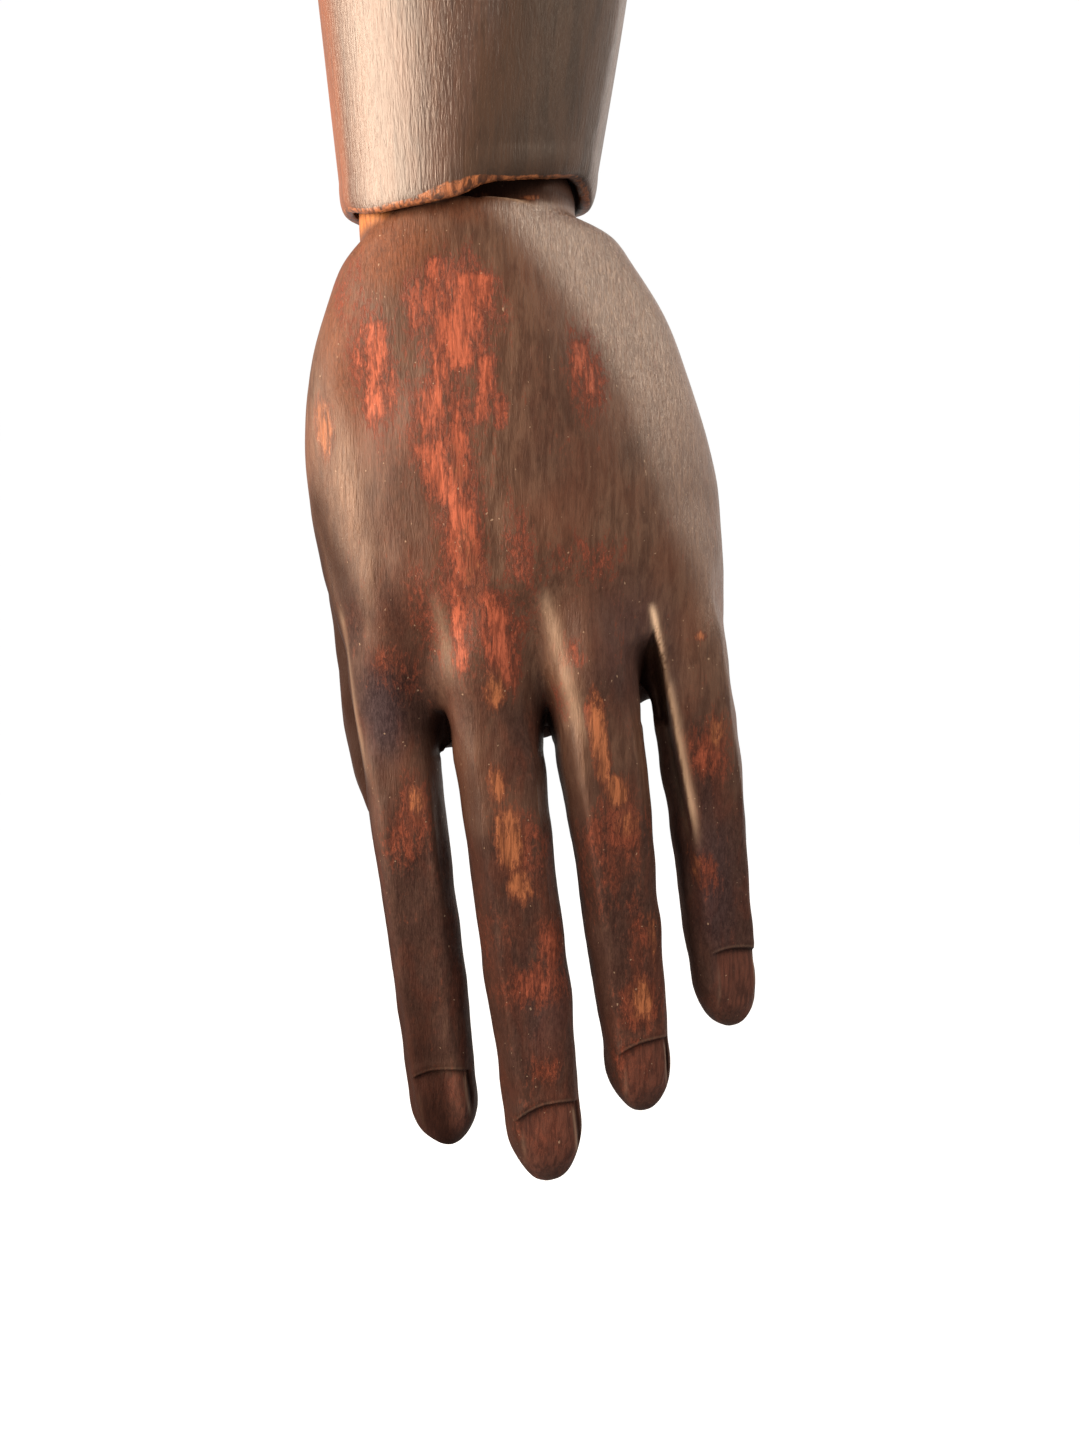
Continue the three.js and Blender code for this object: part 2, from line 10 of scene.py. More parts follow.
import bmesh
import bpy
import numpy as np
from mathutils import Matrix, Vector


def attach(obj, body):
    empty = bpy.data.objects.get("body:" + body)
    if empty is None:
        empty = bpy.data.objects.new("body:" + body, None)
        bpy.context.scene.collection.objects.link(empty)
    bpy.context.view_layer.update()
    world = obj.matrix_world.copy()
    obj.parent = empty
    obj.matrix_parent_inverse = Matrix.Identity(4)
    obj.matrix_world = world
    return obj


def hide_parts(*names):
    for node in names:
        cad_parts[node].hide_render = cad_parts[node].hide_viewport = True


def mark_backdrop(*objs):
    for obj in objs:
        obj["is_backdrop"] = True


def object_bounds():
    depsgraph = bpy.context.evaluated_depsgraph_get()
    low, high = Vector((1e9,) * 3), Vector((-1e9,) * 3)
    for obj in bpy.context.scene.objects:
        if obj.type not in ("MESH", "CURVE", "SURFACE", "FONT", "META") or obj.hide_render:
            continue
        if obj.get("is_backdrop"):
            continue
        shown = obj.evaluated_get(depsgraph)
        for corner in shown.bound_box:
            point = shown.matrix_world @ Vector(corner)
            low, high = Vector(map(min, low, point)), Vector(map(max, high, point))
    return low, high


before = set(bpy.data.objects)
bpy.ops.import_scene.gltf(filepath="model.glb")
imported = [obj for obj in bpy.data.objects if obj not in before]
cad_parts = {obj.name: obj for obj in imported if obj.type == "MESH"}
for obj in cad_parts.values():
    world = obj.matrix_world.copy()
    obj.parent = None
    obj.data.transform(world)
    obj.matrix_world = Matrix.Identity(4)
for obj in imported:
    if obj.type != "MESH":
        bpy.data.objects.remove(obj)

MM = 0.001
cad_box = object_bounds()
scene = bpy.context.scene
print("packed nodes:", sorted(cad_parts))

# %% [markdown]
# ## The eye
# The arm hangs in front of the eye, and the eye is level with the roots of the fingers, so it looks up
# a little at the wrist. A short 40 mm lens at arm's length gives the strong perspective of the picture.
# The same numbers turn a place in the frame into a place on the back of the hand, and later steps use
# that to put a ridge or a worn patch where it is seen.

# %% The camera, and where a place in its frame lies on the arm
EYE = np.array([14.04, -312.0, -430.94])
FRAME_WIDE, FRAME_HIGH = 1080, 1440
LENS, SENSOR = 40.0, 36.0
FOCAL = LENS / SENSOR * FRAME_HIGH
BACK_Y = -13.0  # where most of the back of the hand lies
POINT_MM = (BACK_Y - EYE[1]) / FOCAL

camera_data = bpy.data.cameras.new("eye")
camera_data.lens = LENS
camera_data.sensor_width = SENSOR
camera = bpy.data.objects.new("eye", camera_data)
camera.location = EYE * MM
camera.rotation_euler = (math.pi / 2, 0, 0)
scene.collection.objects.link(camera)
scene.camera = camera


def seen(right, down, near=BACK_Y):
    """World x and z, in mm, of a place in the frame that lies at y = near."""
    depth = near - EYE[1]
    x = EYE[0] + (np.asarray(right, float) - FRAME_WIDE / 2) * depth / FOCAL
    z = EYE[2] - (np.asarray(down, float) - FRAME_HIGH / 2) * depth / FOCAL
    return x, z


print("one frame point on the back of the hand is %.3f mm" % POINT_MM)

# %% [markdown]
# ## The studio
# A pale floor well below the hand, a white surround, and three soft lights. A tall light at the left
# draws the long highlight down the forearm. A higher one at the right skims the plane under the little
# finger. A weak one from behind keeps the far side readable. The surround is a big shell that only the
# eye sees, so it makes a white ground without washing out the wood.

# %% Floor, surround and lights
def plain(name, colour, glow):
    """A matt finish of one colour that also glows white."""
    made = bpy.data.materials.new(name)
    made.use_nodes = True
    shader = made.node_tree.nodes["Principled BSDF"]
    shader.inputs["Base Color"].default_value = (*colour, 1)
    shader.inputs["Roughness"].default_value = 0.9
    shader.inputs["Emission Color"].default_value = (1, 1, 1, 1)
    shader.inputs["Emission Strength"].default_value = glow
    return made


FLOOR_Z, FLOOR_R, SURROUND_R = -0.9, 6.0, 6.5
bpy.ops.mesh.primitive_circle_add(
    vertices=96, radius=FLOOR_R, fill_type="NGON", location=(0, 0, FLOOR_Z))
floor = bpy.context.object
floor.name = "floor"
floor.data.materials.append(plain("pale_floor", (0.9, 0.9, 0.9), 0.75))
floor.visible_diffuse = False
floor.visible_glossy = False
bpy.ops.mesh.primitive_uv_sphere_add(segments=48, ring_count=24, radius=SURROUND_R)
surround = bpy.context.object
surround.name = "surround"
surround.data.materials.append(plain("white_surround", (0, 0, 0), 1.0))
for ray in ("diffuse", "glossy", "transmission", "shadow"):
    setattr(surround, "visible_" + ray, False)
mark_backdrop(floor, surround)


def soft_light(name, place, aim, size, power, colour):
    """A rectangular light that faces its aim."""
    data = bpy.data.lights.new(name, "AREA")
    data.shape = "RECTANGLE"
    data.size, data.size_y = size
    data.energy = power
    data.color = colour
    lamp = bpy.data.objects.new(name, data)
    lamp.location = place
    lamp.rotation_euler = (Vector(aim) - Vector(place)).to_track_quat("-Z", "Y").to_euler()
    scene.collection.objects.link(lamp)


ARM_MIDDLE, FOREARM_FRONT = (0.01, 0.0, -0.36), (0.0, -0.05, -0.33)
# place, aim, size in metres, power in watts and colour
soft_light("left_light", (-1.08, -0.38, -0.18), FOREARM_FRONT, (1.4, 1.0), 57, (1.0, 0.79, 0.6))
soft_light("right_light", (0.79, -0.37, 0.1), ARM_MIDDLE, (0.45, 0.45), 7.0, (1.0, 0.82, 0.64))
soft_light("back_light", (0.75, 0.75, 0.0), ARM_MIDDLE, (0.9, 1.2), 3.5, (1.0, 0.92, 0.84))
world = bpy.data.worlds.new("room")
world.use_nodes = True
world.node_tree.nodes["Background"].inputs["Color"].default_value = (1.0, 0.93, 0.87, 1)
world.node_tree.nodes["Background"].inputs["Strength"].default_value = 0.5
scene.world = world
scene.view_settings.view_transform = "Standard"
print("floor at", FLOOR_Z, "m, three soft lights")

# %% [markdown]
# ## Working tools
# Wood is worked here much as on a bench. A blank is lofted or turned, blanks are fused into one body of
# small even cells, slots and bores are cut out, and then single points are moved as a carver's knife
# and sandpaper would. Even cells matter, because a cut or a rubbed place can then fall anywhere. It
# could be sculpted by hand with brushes instead, but a script repeats every stroke exactly.

# %% Blanks from rings of points
def bands(count, sides, closed=False):
    """Faces between rings of points, and from the last ring back to the first if closed."""
    side = np.arange(sides)
    after = (side + 1) % sides
    faces = []
    for ring in range(count if closed else count - 1):
        low, high = ring * sides, (ring + 1) % count * sides
        faces += np.stack([low + side, low + after, high + after, high + side], 1).tolist()
    return faces


def skin(rings):
    """A closed skin over rings of points, with a fan over each end."""
    rings = np.asarray(rings, float)
    count, sides = rings.shape[:2]
    points = np.vstack([rings.reshape(-1, 3), rings[0].mean(0), rings[-1].mean(0)])
    side = np.arange(sides)
    after = (side + 1) % sides
    faces = bands(count, sides)
    foot, head, top = count * sides, count * sides + 1, (count - 1) * sides
    faces += np.stack([np.full(sides, foot), after, side], 1).tolist()
    faces += np.stack([np.full(sides, head), top + side, top + after], 1).tolist()
    return points, faces


def turned(profile, sides=64):
    """A skin of rings about Z from rows of radius and height."""
    angle = np.linspace(0, 2 * math.pi, sides, endpoint=False)
    around = np.stack([np.cos(angle), np.sin(angle)], 1)
    return skin([np.hstack([radius * around, np.full((sides, 1), height)]) for radius, height in profile])


def along(blank, axis, middle=(0, 0, 0)):
    """Lays a blank that stands along Z along another axis, and moves it."""
    points, faces = blank
    turn = {"x": [2, 0, 1], "y": [1, 2, 0], "z": [0, 1, 2]}[axis]
    return points[:, turn] + np.asarray(middle, float), faces


print("a turned blank of two rings has", len(turned([(1, 0), (1, 1)])[1]), "faces")


# %% Plates, and cutters for holes
def arc(radius, start, end, steps=24):
    """Points on a circle, from one angle to another in degrees."""
    angle = np.radians(np.linspace(start, end, steps))
    return radius * np.stack([np.cos(angle), np.sin(angle)], 1)


def plate(outline, thick, axis, middle=(0, 0, 0)):
    """A flat plate from a counter-clockwise outline, across Y or X."""
    outline = np.asarray(outline, float)
    flat = np.zeros(len(outline))
    sides = []
    for half in (-thick / 2, thick / 2):
        if axis == "y":
            sides.append(np.stack([outline[:, 0], flat + half, outline[:, 1]], 1))
        else:
            sides.append(np.stack([flat + half, outline[:, 0], outline[:, 1]], 1))
    count = len(outline)
    faces = [list(range(count)), list(range(2 * count - 1, count - 1, -1))]
    for start in range(count):
        after = (start + 1) % count
        faces.append([start, after, count + after, count + start])
    return np.vstack(sides) + np.asarray(middle, float), faces


def hole(radius, axis, middle, sides=32):
    """A round cutter that reaches past the wood on both sides."""
    past = 60
    return along(turned([(radius, -past), (radius, past)], sides), axis, middle)


print("a hole's cutter has", len(hole(1, "z", (0, 0, 0))[0]), "points")


# %% Bodies, and cuts made in them
def body_of(blanks):
    """One mesh, in metres, that holds every blank."""
    made = bmesh.new()
    for points, faces in blanks:
        corners = [made.verts.new(point) for point in np.asarray(points) * MM]
        for face in faces:
            made.faces.new([corners[k] for k in face])
    bmesh.ops.recalc_face_normals(made, faces=made.faces)
    mesh = bpy.data.meshes.new("body")
    made.to_mesh(mesh)
    made.free()
    return mesh


def changed(mesh, change):
    """The mesh as it comes out of modifiers that change() puts on it."""
    holder = bpy.data.objects.new("holder", mesh)
    scene.collection.objects.link(holder)
    extra = change(holder) or []
    graph = bpy.context.evaluated_depsgraph_get()
    made = bpy.data.meshes.new_from_object(holder.evaluated_get(graph))
    for item in [holder, *extra]:
        bpy.data.objects.remove(item)
    return made


def cut_out(mesh, cutters):
    """The mesh less each cutter."""
    def change(holder):
        tools = []
        for cutter in cutters:
            tool = bpy.data.objects.new("cutter", body_of([cutter]))
            scene.collection.objects.link(tool)
            tool.hide_render = True
            step = holder.modifiers.new("cut", "BOOLEAN")
            step.operation = "DIFFERENCE"
            step.solver = "EXACT"
            step.object = tool
            tools.append(tool)
        return tools
    return changed(mesh, change)


# %% Even cells, and their points
def fused(mesh, cell):
    """The mesh again in even cells of that many mm, with overlapping blanks made one."""
    def change(holder):
        step = holder.modifiers.new("cells", "REMESH")
        step.mode = "VOXEL"
        step.voxel_size = cell * MM
    return changed(mesh, change)


def points_of(mesh):
    """The mesh's points, in mm."""
    flat = np.zeros(len(mesh.vertices) * 3, np.float32)
    mesh.vertices.foreach_get("co", flat)
    return flat.reshape(-1, 3).astype(float) / MM


def put_points(mesh, points):
    """Moves the mesh's points to new places, in mm."""
    mesh.vertices.foreach_set("co", (points * MM).astype(np.float32).ravel())
    mesh.update()


def sanded(mesh, points, rounds, amount=1.0):
    """Points drawn towards the middle of their neighbours, by an amount for each point."""
    pairs = np.zeros(len(mesh.edges) * 2, np.int32)
    mesh.edges.foreach_get("vertices", pairs)
    one, two = pairs.reshape(-1, 2).T
    count = len(points)
    ends, others = np.concatenate([one, two]), np.concatenate([two, one])
    meeting = np.bincount(ends, minlength=count)[:, None]
    share = 0.5 * np.broadcast_to(amount, count)[:, None] / np.maximum(1, meeting)
    for _ in range(rounds):
        pull = np.stack([np.bincount(ends, points[others, k], count) for k in range(3)], 1)
        points = points + share * (pull - meeting * points)
    return points


# %% Soft steps
def ease(value, low, high):
    """0 below low, 1 above high, and smooth between."""
    share = np.clip((np.asarray(value, float) - low) / (high - low), 0, 1)
    return share * share * (3 - 2 * share)


print("a soft step, in quarters:", ease([0, 0.25, 0.5, 0.75, 1], 0, 1).tolist())

# %% [markdown]
# ## The forearm
# The real forearm is turned and then flattened a little by hand. It swells from the wrist to the muscle
# and ends in a slotted ball at the elbow. The wrist end is a thin-lipped cup. A spun profile would be
# quick, but it can't give the flattened section or the uneven lip. So a loft of ovals follows the packed
# sizes with the wear of the lip already in it, and the cup, bore, slot and holes are cut from that.

# %% Forearm sizes and its outline
ELBOW_Z, WRIST_Z = -90.0, -335.0
FOREARM_LENGTH = ELBOW_Z - WRIST_Z
WRIST_R, BULGE_R, BALL_R = 25.2, 38.0, 29.0
BULGE_HEIGHT, BULGE_SHIFT, FLATTEN = 150.0, 1.7, 0.95
RIM_HEIGHT, RIM_ROUND, RIM_WALL = 3.3, 6.0, 1.5
CUP_R, CUP_FLATTEN = 22.3, 0.972
RIM_R = math.sqrt(CUP_R ** 2 - RIM_HEIGHT ** 2) + RIM_WALL
RIM_SLANT, RIM_LOW, RIM_FADE = 2.0, 230.0, 40.0


def forearm_half(height):
    """Half width of the limb at a height above the wrist."""
    height = np.asarray(height, float)
    lip = np.clip((height - RIM_HEIGHT) / RIM_ROUND, 0, 1)
    near_rim = RIM_R + (WRIST_R - RIM_R) * np.sqrt(1 - (1 - lip) ** 2)
    start = RIM_HEIGHT + RIM_ROUND
    rise = np.clip((height - start) / (BULGE_HEIGHT - start), 0, 1)
    lower = WRIST_R + (BULGE_R - WRIST_R) * np.sin(rise * math.pi / 2)
    fall = np.clip((height - BULGE_HEIGHT) / (FOREARM_LENGTH - BULGE_HEIGHT), 0, 1)
    upper = BALL_R + (BULGE_R - BALL_R) * np.cos(fall * math.pi / 2)
    over = np.clip(height - FOREARM_LENGTH, 0, BALL_R)
    knob = np.sqrt(BALL_R ** 2 - over ** 2)
    return np.select(
        [height < start, height < BULGE_HEIGHT, height < FOREARM_LENGTH], [near_rim, lower, upper], knob)


def forearm_shift(height):
    """How far the limb's middle lies towards the little finger side at a height."""
    height = np.asarray(height, float)
    swell = np.maximum(0, np.sin(math.pi * height / FOREARM_LENGTH))
    return np.where(height < FOREARM_LENGTH, BULGE_SHIFT * swell, 0)


def rim_fall(angle, height):
    """How far the slanted lip hangs down at an angle round the arm, in degrees."""
    fade = 1 - ease(height, RIM_HEIGHT, RIM_HEIGHT + RIM_FADE)
    return RIM_SLANT * fade * np.cos(np.radians(angle - RIM_LOW))


print("rim radius %.2f mm, cup radius %.2f mm" % (RIM_R, CUP_R))

# %% The worn lip
# angle round the arm in degrees, and how far the lip is worn up (or stands down) in mm
LIP_WEAR = [
    (-23, 2.9), (-10, 1.7), (0, 0.2), (30, 0.2), (90, 0.0), (150, 0.2), (180, 0.0),
    (205, -1.5), (222, -3.35), (238, -3.75), (252, -3.6), (264, -3.0), (271, -2.3),
    (278, -0.9), (288, -0.1), (300, 0.5), (320, 1.8), (337, 2.9), (350, 1.7), (360, 0.2)]
LIP_FADE = 42.0


def through(rows):
    """A smooth curve through rows of position and values, bending as a thin batten would."""
    rows = np.asarray(rows, float)
    x, y = rows[:, 0], rows[:, 1:]
    step = np.diff(x)
    count = len(x)
    system = np.eye(count)
    right = np.zeros_like(y)
    for k in range(1, count - 1):
        system[k, k - 1:k + 2] = step[k - 1], 2 * (step[k - 1] + step[k]), step[k]
        right[k] = 6 * ((y[k + 1] - y[k]) / step[k] - (y[k] - y[k - 1]) / step[k - 1])
    bend = np.linalg.solve(system, right)

    def at(position):
        position = np.clip(np.asarray(position, float), x[0], x[-1])
        k = np.clip(np.searchsorted(x, position) - 1, 0, count - 2)
        h = step[k][..., None]
        a, b = (x[k + 1] - position)[..., None], (position - x[k])[..., None]
        return (bend[k] * a ** 3 + bend[k + 1] * b ** 3) / (6 * h) + (
            y[k] / h - bend[k] * h / 6) * a + (y[k + 1] / h - bend[k + 1] * h / 6) * b

    return at


lip_rows = through(LIP_WEAR)


def lip_wear(angle, height):
    """How far the worn lip stands above the plain one, fading out up the limb."""
    return lip_rows(angle)[..., 0] * (1 - ease(height, RIM_HEIGHT + 1, LIP_FADE))


all_round = lip_rows(np.arange(360))
print("lip worn from %.1f to %.1f mm" % (all_round.min(), all_round.max()))

# %% Loft the limb
LIMB_SIDES = 180
round_angle = np.linspace(0, 360, LIMB_SIDES, endpoint=False)
heights = np.concatenate([
    RIM_HEIGHT + RIM_ROUND * np.array([0, 0.03, 0.1, 0.2, 0.35, 0.5, 0.7, 0.85]),
    np.linspace(RIM_HEIGHT + RIM_ROUND, FOREARM_LENGTH, 90),
    FOREARM_LENGTH + BALL_R * np.sin(np.linspace(0.05, 1.5, 24)),
])
limb_rings = []
for height in heights:
    half = forearm_half(height)
    limb_rings.append(np.stack([
        forearm_shift(height) + half * np.cos(np.radians(round_angle)),
        half * FLATTEN * np.sin(np.radians(round_angle)),
        WRIST_Z + height - rim_fall(round_angle, height) + lip_wear(round_angle, height),
    ], 1))
print("limb lofted over", len(limb_rings), "rings")

# %% Cut its cup, bore, slot and holes
cup_angle = np.linspace(-math.pi / 2, math.pi / 2, 48)
cup_points, cup_faces = turned(np.stack([CUP_R * np.cos(cup_angle), CUP_R * np.sin(cup_angle)], 1), 96)
cup_points = cup_points * np.array([1, CUP_FLATTEN, 1])
COLLAR_ROOM, COLLAR_TOP, SHAFT_ROOM, SHAFT_TOP = 14.3, 22.8, 9.3, 82.5
pocket = turned([
    (COLLAR_ROOM, 0), (COLLAR_ROOM, COLLAR_TOP), (SHAFT_ROOM, COLLAR_TOP), (SHAFT_ROOM, SHAFT_TOP)])
at_wrist, at_elbow = (0, 0, WRIST_Z), (0, 0, ELBOW_Z)

SLOT_REACH, ELBOW_SLOT_R, ELBOW_SLOT_WIDE = 120.0, 12.3, 21.2
FLOOR_FROM, OPENS_TO = -82, math.radians(98)
slot_wall = np.array([[-math.sin(OPENS_TO), math.cos(OPENS_TO)]])
elbow_slot = np.vstack([
    [(ELBOW_SLOT_R, SLOT_REACH), (-SLOT_REACH, SLOT_REACH)],
    arc(ELBOW_SLOT_R, FLOOR_FROM, FLOOR_FROM, 1) + SLOT_REACH * slot_wall,
    arc(ELBOW_SLOT_R, FLOOR_FROM, 0),
])
ELBOW_BORE, SWIVEL_BORE = 4.8, 3.3
SWIVEL_X, SWIVEL_Z = 9.3, WRIST_Z + 62.2
swivel_left, swivel_right = (-SWIVEL_X, 0, SWIVEL_Z), (SWIVEL_X, 0, SWIVEL_Z)
true_forearm = cut_out(body_of([skin(limb_rings)]), [
    along((cup_points, cup_faces), "z", at_wrist),
    along(pocket, "z", at_wrist),
    plate(elbow_slot, ELBOW_SLOT_WIDE, "y", at_elbow),
    hole(ELBOW_BORE, "y", at_elbow, 40),
    hole(SWIVEL_BORE, "y", swivel_left),
    hole(SWIVEL_BORE, "y", swivel_right),
])
print("forearm cut in", len(true_forearm.polygons), "faces")

# %% [markdown]
# Even cells soften a thin lip, because it is hardly two cells thick. So after fusing, the cells at the
# lip are split, and every point is laid back on the true cut surface. A light sanding then leaves the
# edges just rounded, as hands leave them.

# %% Even cells and a crisp lip
LIMB_CELL, LIP_TOP, LIP_SANDING = 0.85, WRIST_Z + 9, 0.3


def wrapped(mesh, true_mesh):
    """The mesh with its points laid back on the surface that it was made from."""
    def change(holder):
        target = bpy.data.objects.new("true", true_mesh)
        scene.collection.objects.link(target)
        step = holder.modifiers.new("wrap", "SHRINKWRAP")
        step.wrap_method = "NEAREST_SURFACEPOINT"
        step.target = target
        return [target]
    return changed(mesh, change)


def split_cells(mesh, pick, cuts):
    """Splits the cells that touch picked points."""
    made = bmesh.new()
    made.from_mesh(mesh)
    made.verts.ensure_lookup_table()
    touched = [face for face in made.faces if any(pick[corner.index] for corner in face.verts)]
    edges = {edge for face in touched for edge in face.edges}
    bmesh.ops.subdivide_edges(made, edges=list(edges), cuts=cuts, use_grid_fill=True)
    made.to_mesh(mesh)
    made.free()


forearm_mesh = wrapped(fused(true_forearm, LIMB_CELL), true_forearm)
split_cells(forearm_mesh, points_of(forearm_mesh)[:, 2] < LIP_TOP, 1)
forearm_mesh = wrapped(forearm_mesh, true_forearm)
points = points_of(forearm_mesh)
points = sanded(forearm_mesh, points, 2, np.where(points[:, 2] < LIP_TOP, LIP_SANDING, 1.0))
put_points(forearm_mesh, points)
print("forearm in", len(points), "points")

# %% [markdown]
# The lip and the cup are rubbed to bare wood, most of all in front. Deeper in, the cup is painted dark as
# painted shade, except at the lip seen from the front. The stain is duller and darker on the right of the
# front, partly as painted shade on the side turned from the light, and it is warm at the far left. Each of
# these is stored as a number on the points, from the angle round the arm, so that the finish can read it
# later. A painted picture could carry the same wear, but it would need the limb unwrapped first, and
# numbers on points need nothing.

# %% Marks on the points, and finished pieces
def mark(mesh, name, values):
    """Stores one number for each point, for a finish to read."""
    layer = mesh.attributes.new(name, "FLOAT", "POINT")
    layer.data.foreach_set("value", np.asarray(values, np.float32))


def piece(name, mesh, body, slot, *nodes):
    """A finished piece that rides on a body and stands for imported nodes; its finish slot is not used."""
    mesh.name = name
    made = bpy.data.objects.new(name, mesh)
    scene.collection.objects.link(made)
    mesh.polygons.foreach_set("use_smooth", np.ones(len(mesh.polygons), bool))
    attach(made, body)
    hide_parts(*nodes)
    print(f"{name}: {len(mesh.polygons)} faces, rides on {body}")
    return made


def band(value, low, full, fade, high):
    """0 outside low to high, 1 from full to fade, and smooth between."""
    return ease(value, low, full) * (1 - ease(value, fade, high))


# %% Where bare wood shows, where shade is painted in the cup and on the dull right side, and where the stain is warm
# angles round the arm where each begins, is full, starts to fade and ends
LIT_LIP, WARM_SIDE, DULL_SHADE_END = (232, 246, 278, 292), (165, 186, 196, 218), (335, 352)
height = points[:, 2] - WRIST_Z
angle = np.degrees(np.arctan2(points[:, 1] / FLATTEN, points[:, 0])) % 360
plain_height = height + rim_fall(angle, height) - lip_wear(angle, height)
radius = np.hypot(points[:, 0] - forearm_shift(height), points[:, 1] / FLATTEN)
inside = ease(forearm_half(np.maximum(plain_height, RIM_HEIGHT)) - radius, 0.8, 1.6)
bare_rows = through([
    (0, 0.1), (90, 0.4), (170, 0.5), (200, 1.0), (238, 1.2), (250, 1.6), (262, 2.7),
    (272, 2.5), (282, 1.2), (292, 0.7), (318, 0.6), (335, 0.2), (345, 0.1), (360, 0.1)])
edge_width = bare_rows(angle)[..., 0]
lip_edge = 1 - ease(plain_height - RIM_HEIGHT, 0.4 * edge_width, 1.3 * edge_width)
# painted shade: the cup is darkened deeper inside, but not at the lip seen from the front
shaded_cavity = inside * (1 - ease(height, 40, 60))
lit_edge = band(angle, *LIT_LIP) * (1 - ease(plain_height, 4.5, 7))
mark(forearm_mesh, "bare", np.maximum(inside, lip_edge * (1 - 0.45 * ease(angle, 280, 300))))
mark(forearm_mesh, "cup_shade", shaded_cavity * (1 - lit_edge))
# a duller, darker stain on the right of the front, partly painted shade on the side turned from the left
# light
dull_shade_from = 263 + 0.6 * np.clip(height - 4, 0, 60)
mark(forearm_mesh, "dull_and_shade", band(angle, dull_shade_from - 18, dull_shade_from + 24, *DULL_SHADE_END))
mark(forearm_mesh, "warm", band(angle, *WARM_SIDE))
forearm = piece("forearm_turned", forearm_mesh, "forearm", "forearm_wood", "forearm")

# %% [markdown]
# ## The hand: a blank from lofts
# The hand, its thumb and its fingers are one block of wood. Three kinds of loft make the blank: the
# paddle of the palm, four straight fingers, and the thumb that lies along the palm. They overlap and are
# fused, which also gives the webs their material. The knuckle that the wrist peg goes through is a
# barrel with rounded ends. One subdivided cage could make the whole hand, but separate lofts keep every
# finger at its measured width and length.

# %% Hand sizes and the hand's own directions
LEAN = math.radians(7)
PALM_LENGTH, HALF_THUMB, HALF_LITTLE = 101.0, 37.4, 42.8
PALM_BACK, PALM_FRONT = 18.0, 18.0
ARCH_THUMB, ARCH_LITTLE = 3.0, 9.0
ROOT_DOWN, ROOT_FULL, ROOT_SINK, ROOT_TAPER = 58.0, 88.0, 1.5, 0.45
WEB_START, WEB_RISE = 81.0, 11.2
SHOULDER_DROP, THUMB_SHOULDER, LIP_SEAT, SHOULDER_DOWN = 2.8, 2.4, 0.8, 9.0
KNUCKLE_R, BARREL_R = 21.6, 15.0
FINGERS = {
    "index": dict(across=-25.4, deep=-2.8, length=77.3, base=15.3, tip=13.8, roll=-3),
    "middle": dict(across=-6.4, deep=-4.5, length=85.5, base=17.6, tip=15.6, roll=6),
    "ring": dict(across=13.2, deep=-4.5, length=74.5, base=17.8, tip=13.5, roll=14),
    "little": dict(across=32.6, deep=-1.8, length=61.3, base=16.4, tip=13.8, roll=24),
}


def to_world(hand):
    """Across, deep and down the hand, to world mm."""
    across, deep, down = np.moveaxis(np.asarray(hand, float), -1, 0)
    x = across * math.cos(LEAN) + down * math.sin(LEAN)
    z = WRIST_Z + across * math.sin(LEAN) - down * math.cos(LEAN)
    return np.stack([x, deep, z], -1)


def to_hand(world):
    """World mm to across, deep and down the hand."""
    x, y, z = np.moveaxis(np.asarray(world, float), -1, 0)
    across = x * math.cos(LEAN) + (z - WRIST_Z) * math.sin(LEAN)
    down = x * math.sin(LEAN) - (z - WRIST_Z) * math.cos(LEAN)
    return np.stack([across, y, down], -1)


def arch_at(across, down):
    """How far the back falls away towards the hand's two edges."""
    grown = np.clip(np.asarray(down, float) / ROOT_DOWN, 0, 1)
    drop = np.where(across < 0, ARCH_THUMB, ARCH_LITTLE)
    half = np.where(across < 0, HALF_THUMB, HALF_LITTLE)
    return grown * drop * (across / half) ** 2


def oval(sides, fullness):
    """Points round a unit oval with corners fuller than an ellipse's."""
    angle = np.linspace(0, 2 * math.pi, sides, endpoint=False)
    x, y = np.cos(angle), np.sin(angle)
    power = 2 / fullness
    return np.sign(x) * np.abs(x) ** power, np.sign(y) * np.abs(y) ** power


print("wrist to middle fingertip: %.1f mm" % (PALM_LENGTH + FINGERS["middle"]["length"]))

# %% The palm's blank
index_out = FINGERS["index"]["base"] / 2 - FINGERS["index"]["across"]
little_out = FINGERS["little"]["across"] + FINGERS["little"]["base"] / 2
# share of the palm's length, half widths to thumb and little finger, back, front, and their slants
palm_at = through([
    [0, 0.94 * KNUCKLE_R, 0.94 * KNUCKLE_R, 1.06 * PALM_BACK, 0.85 * PALM_FRONT, 0, 0.45],
    [0.03, 0.645 * HALF_THUMB, 0.6 * HALF_LITTLE, 1.08 * PALM_BACK, 0.92 * PALM_FRONT, 0, 0.42],
    [0.08, 0.725 * HALF_THUMB, 0.685 * HALF_LITTLE, 1.07 * PALM_BACK, 0.95 * PALM_FRONT, 0, 0.36],
    [0.18, 0.85 * HALF_THUMB, 0.81 * HALF_LITTLE, 1.03 * PALM_BACK, 0.97 * PALM_FRONT, 0, 0.2],
    [0.32, 0.96 * HALF_THUMB, 0.915 * HALF_LITTLE, PALM_BACK, PALM_FRONT, 0, 0],
    [0.5, HALF_THUMB, HALF_LITTLE, 0.94 * PALM_BACK, PALM_FRONT, 0, 0],
    [0.7, 0.95 * HALF_THUMB, 0.99 * HALF_LITTLE, 0.83 * PALM_BACK, 0.9 * PALM_FRONT, 0.1, 0.1],
    [0.85, index_out + 0.6, little_out, 0.64 * PALM_BACK, 0.72 * PALM_FRONT, 0.35, 0.3],
    [0.95, index_out - 1, little_out - 4, 0.45 * PALM_BACK, 0.55 * PALM_FRONT, 0.45, 0.4],
    [0.985, index_out - 4, little_out - 9, 0.2 * PALM_BACK, 0.33 * PALM_FRONT, 0.45, 0.4],
])


def palm_fullness(down):
    """How full the corners of the palm's oval are."""
    return 2.25 + 0.95 * ease(down, ROOT_DOWN, ROOT_FULL)


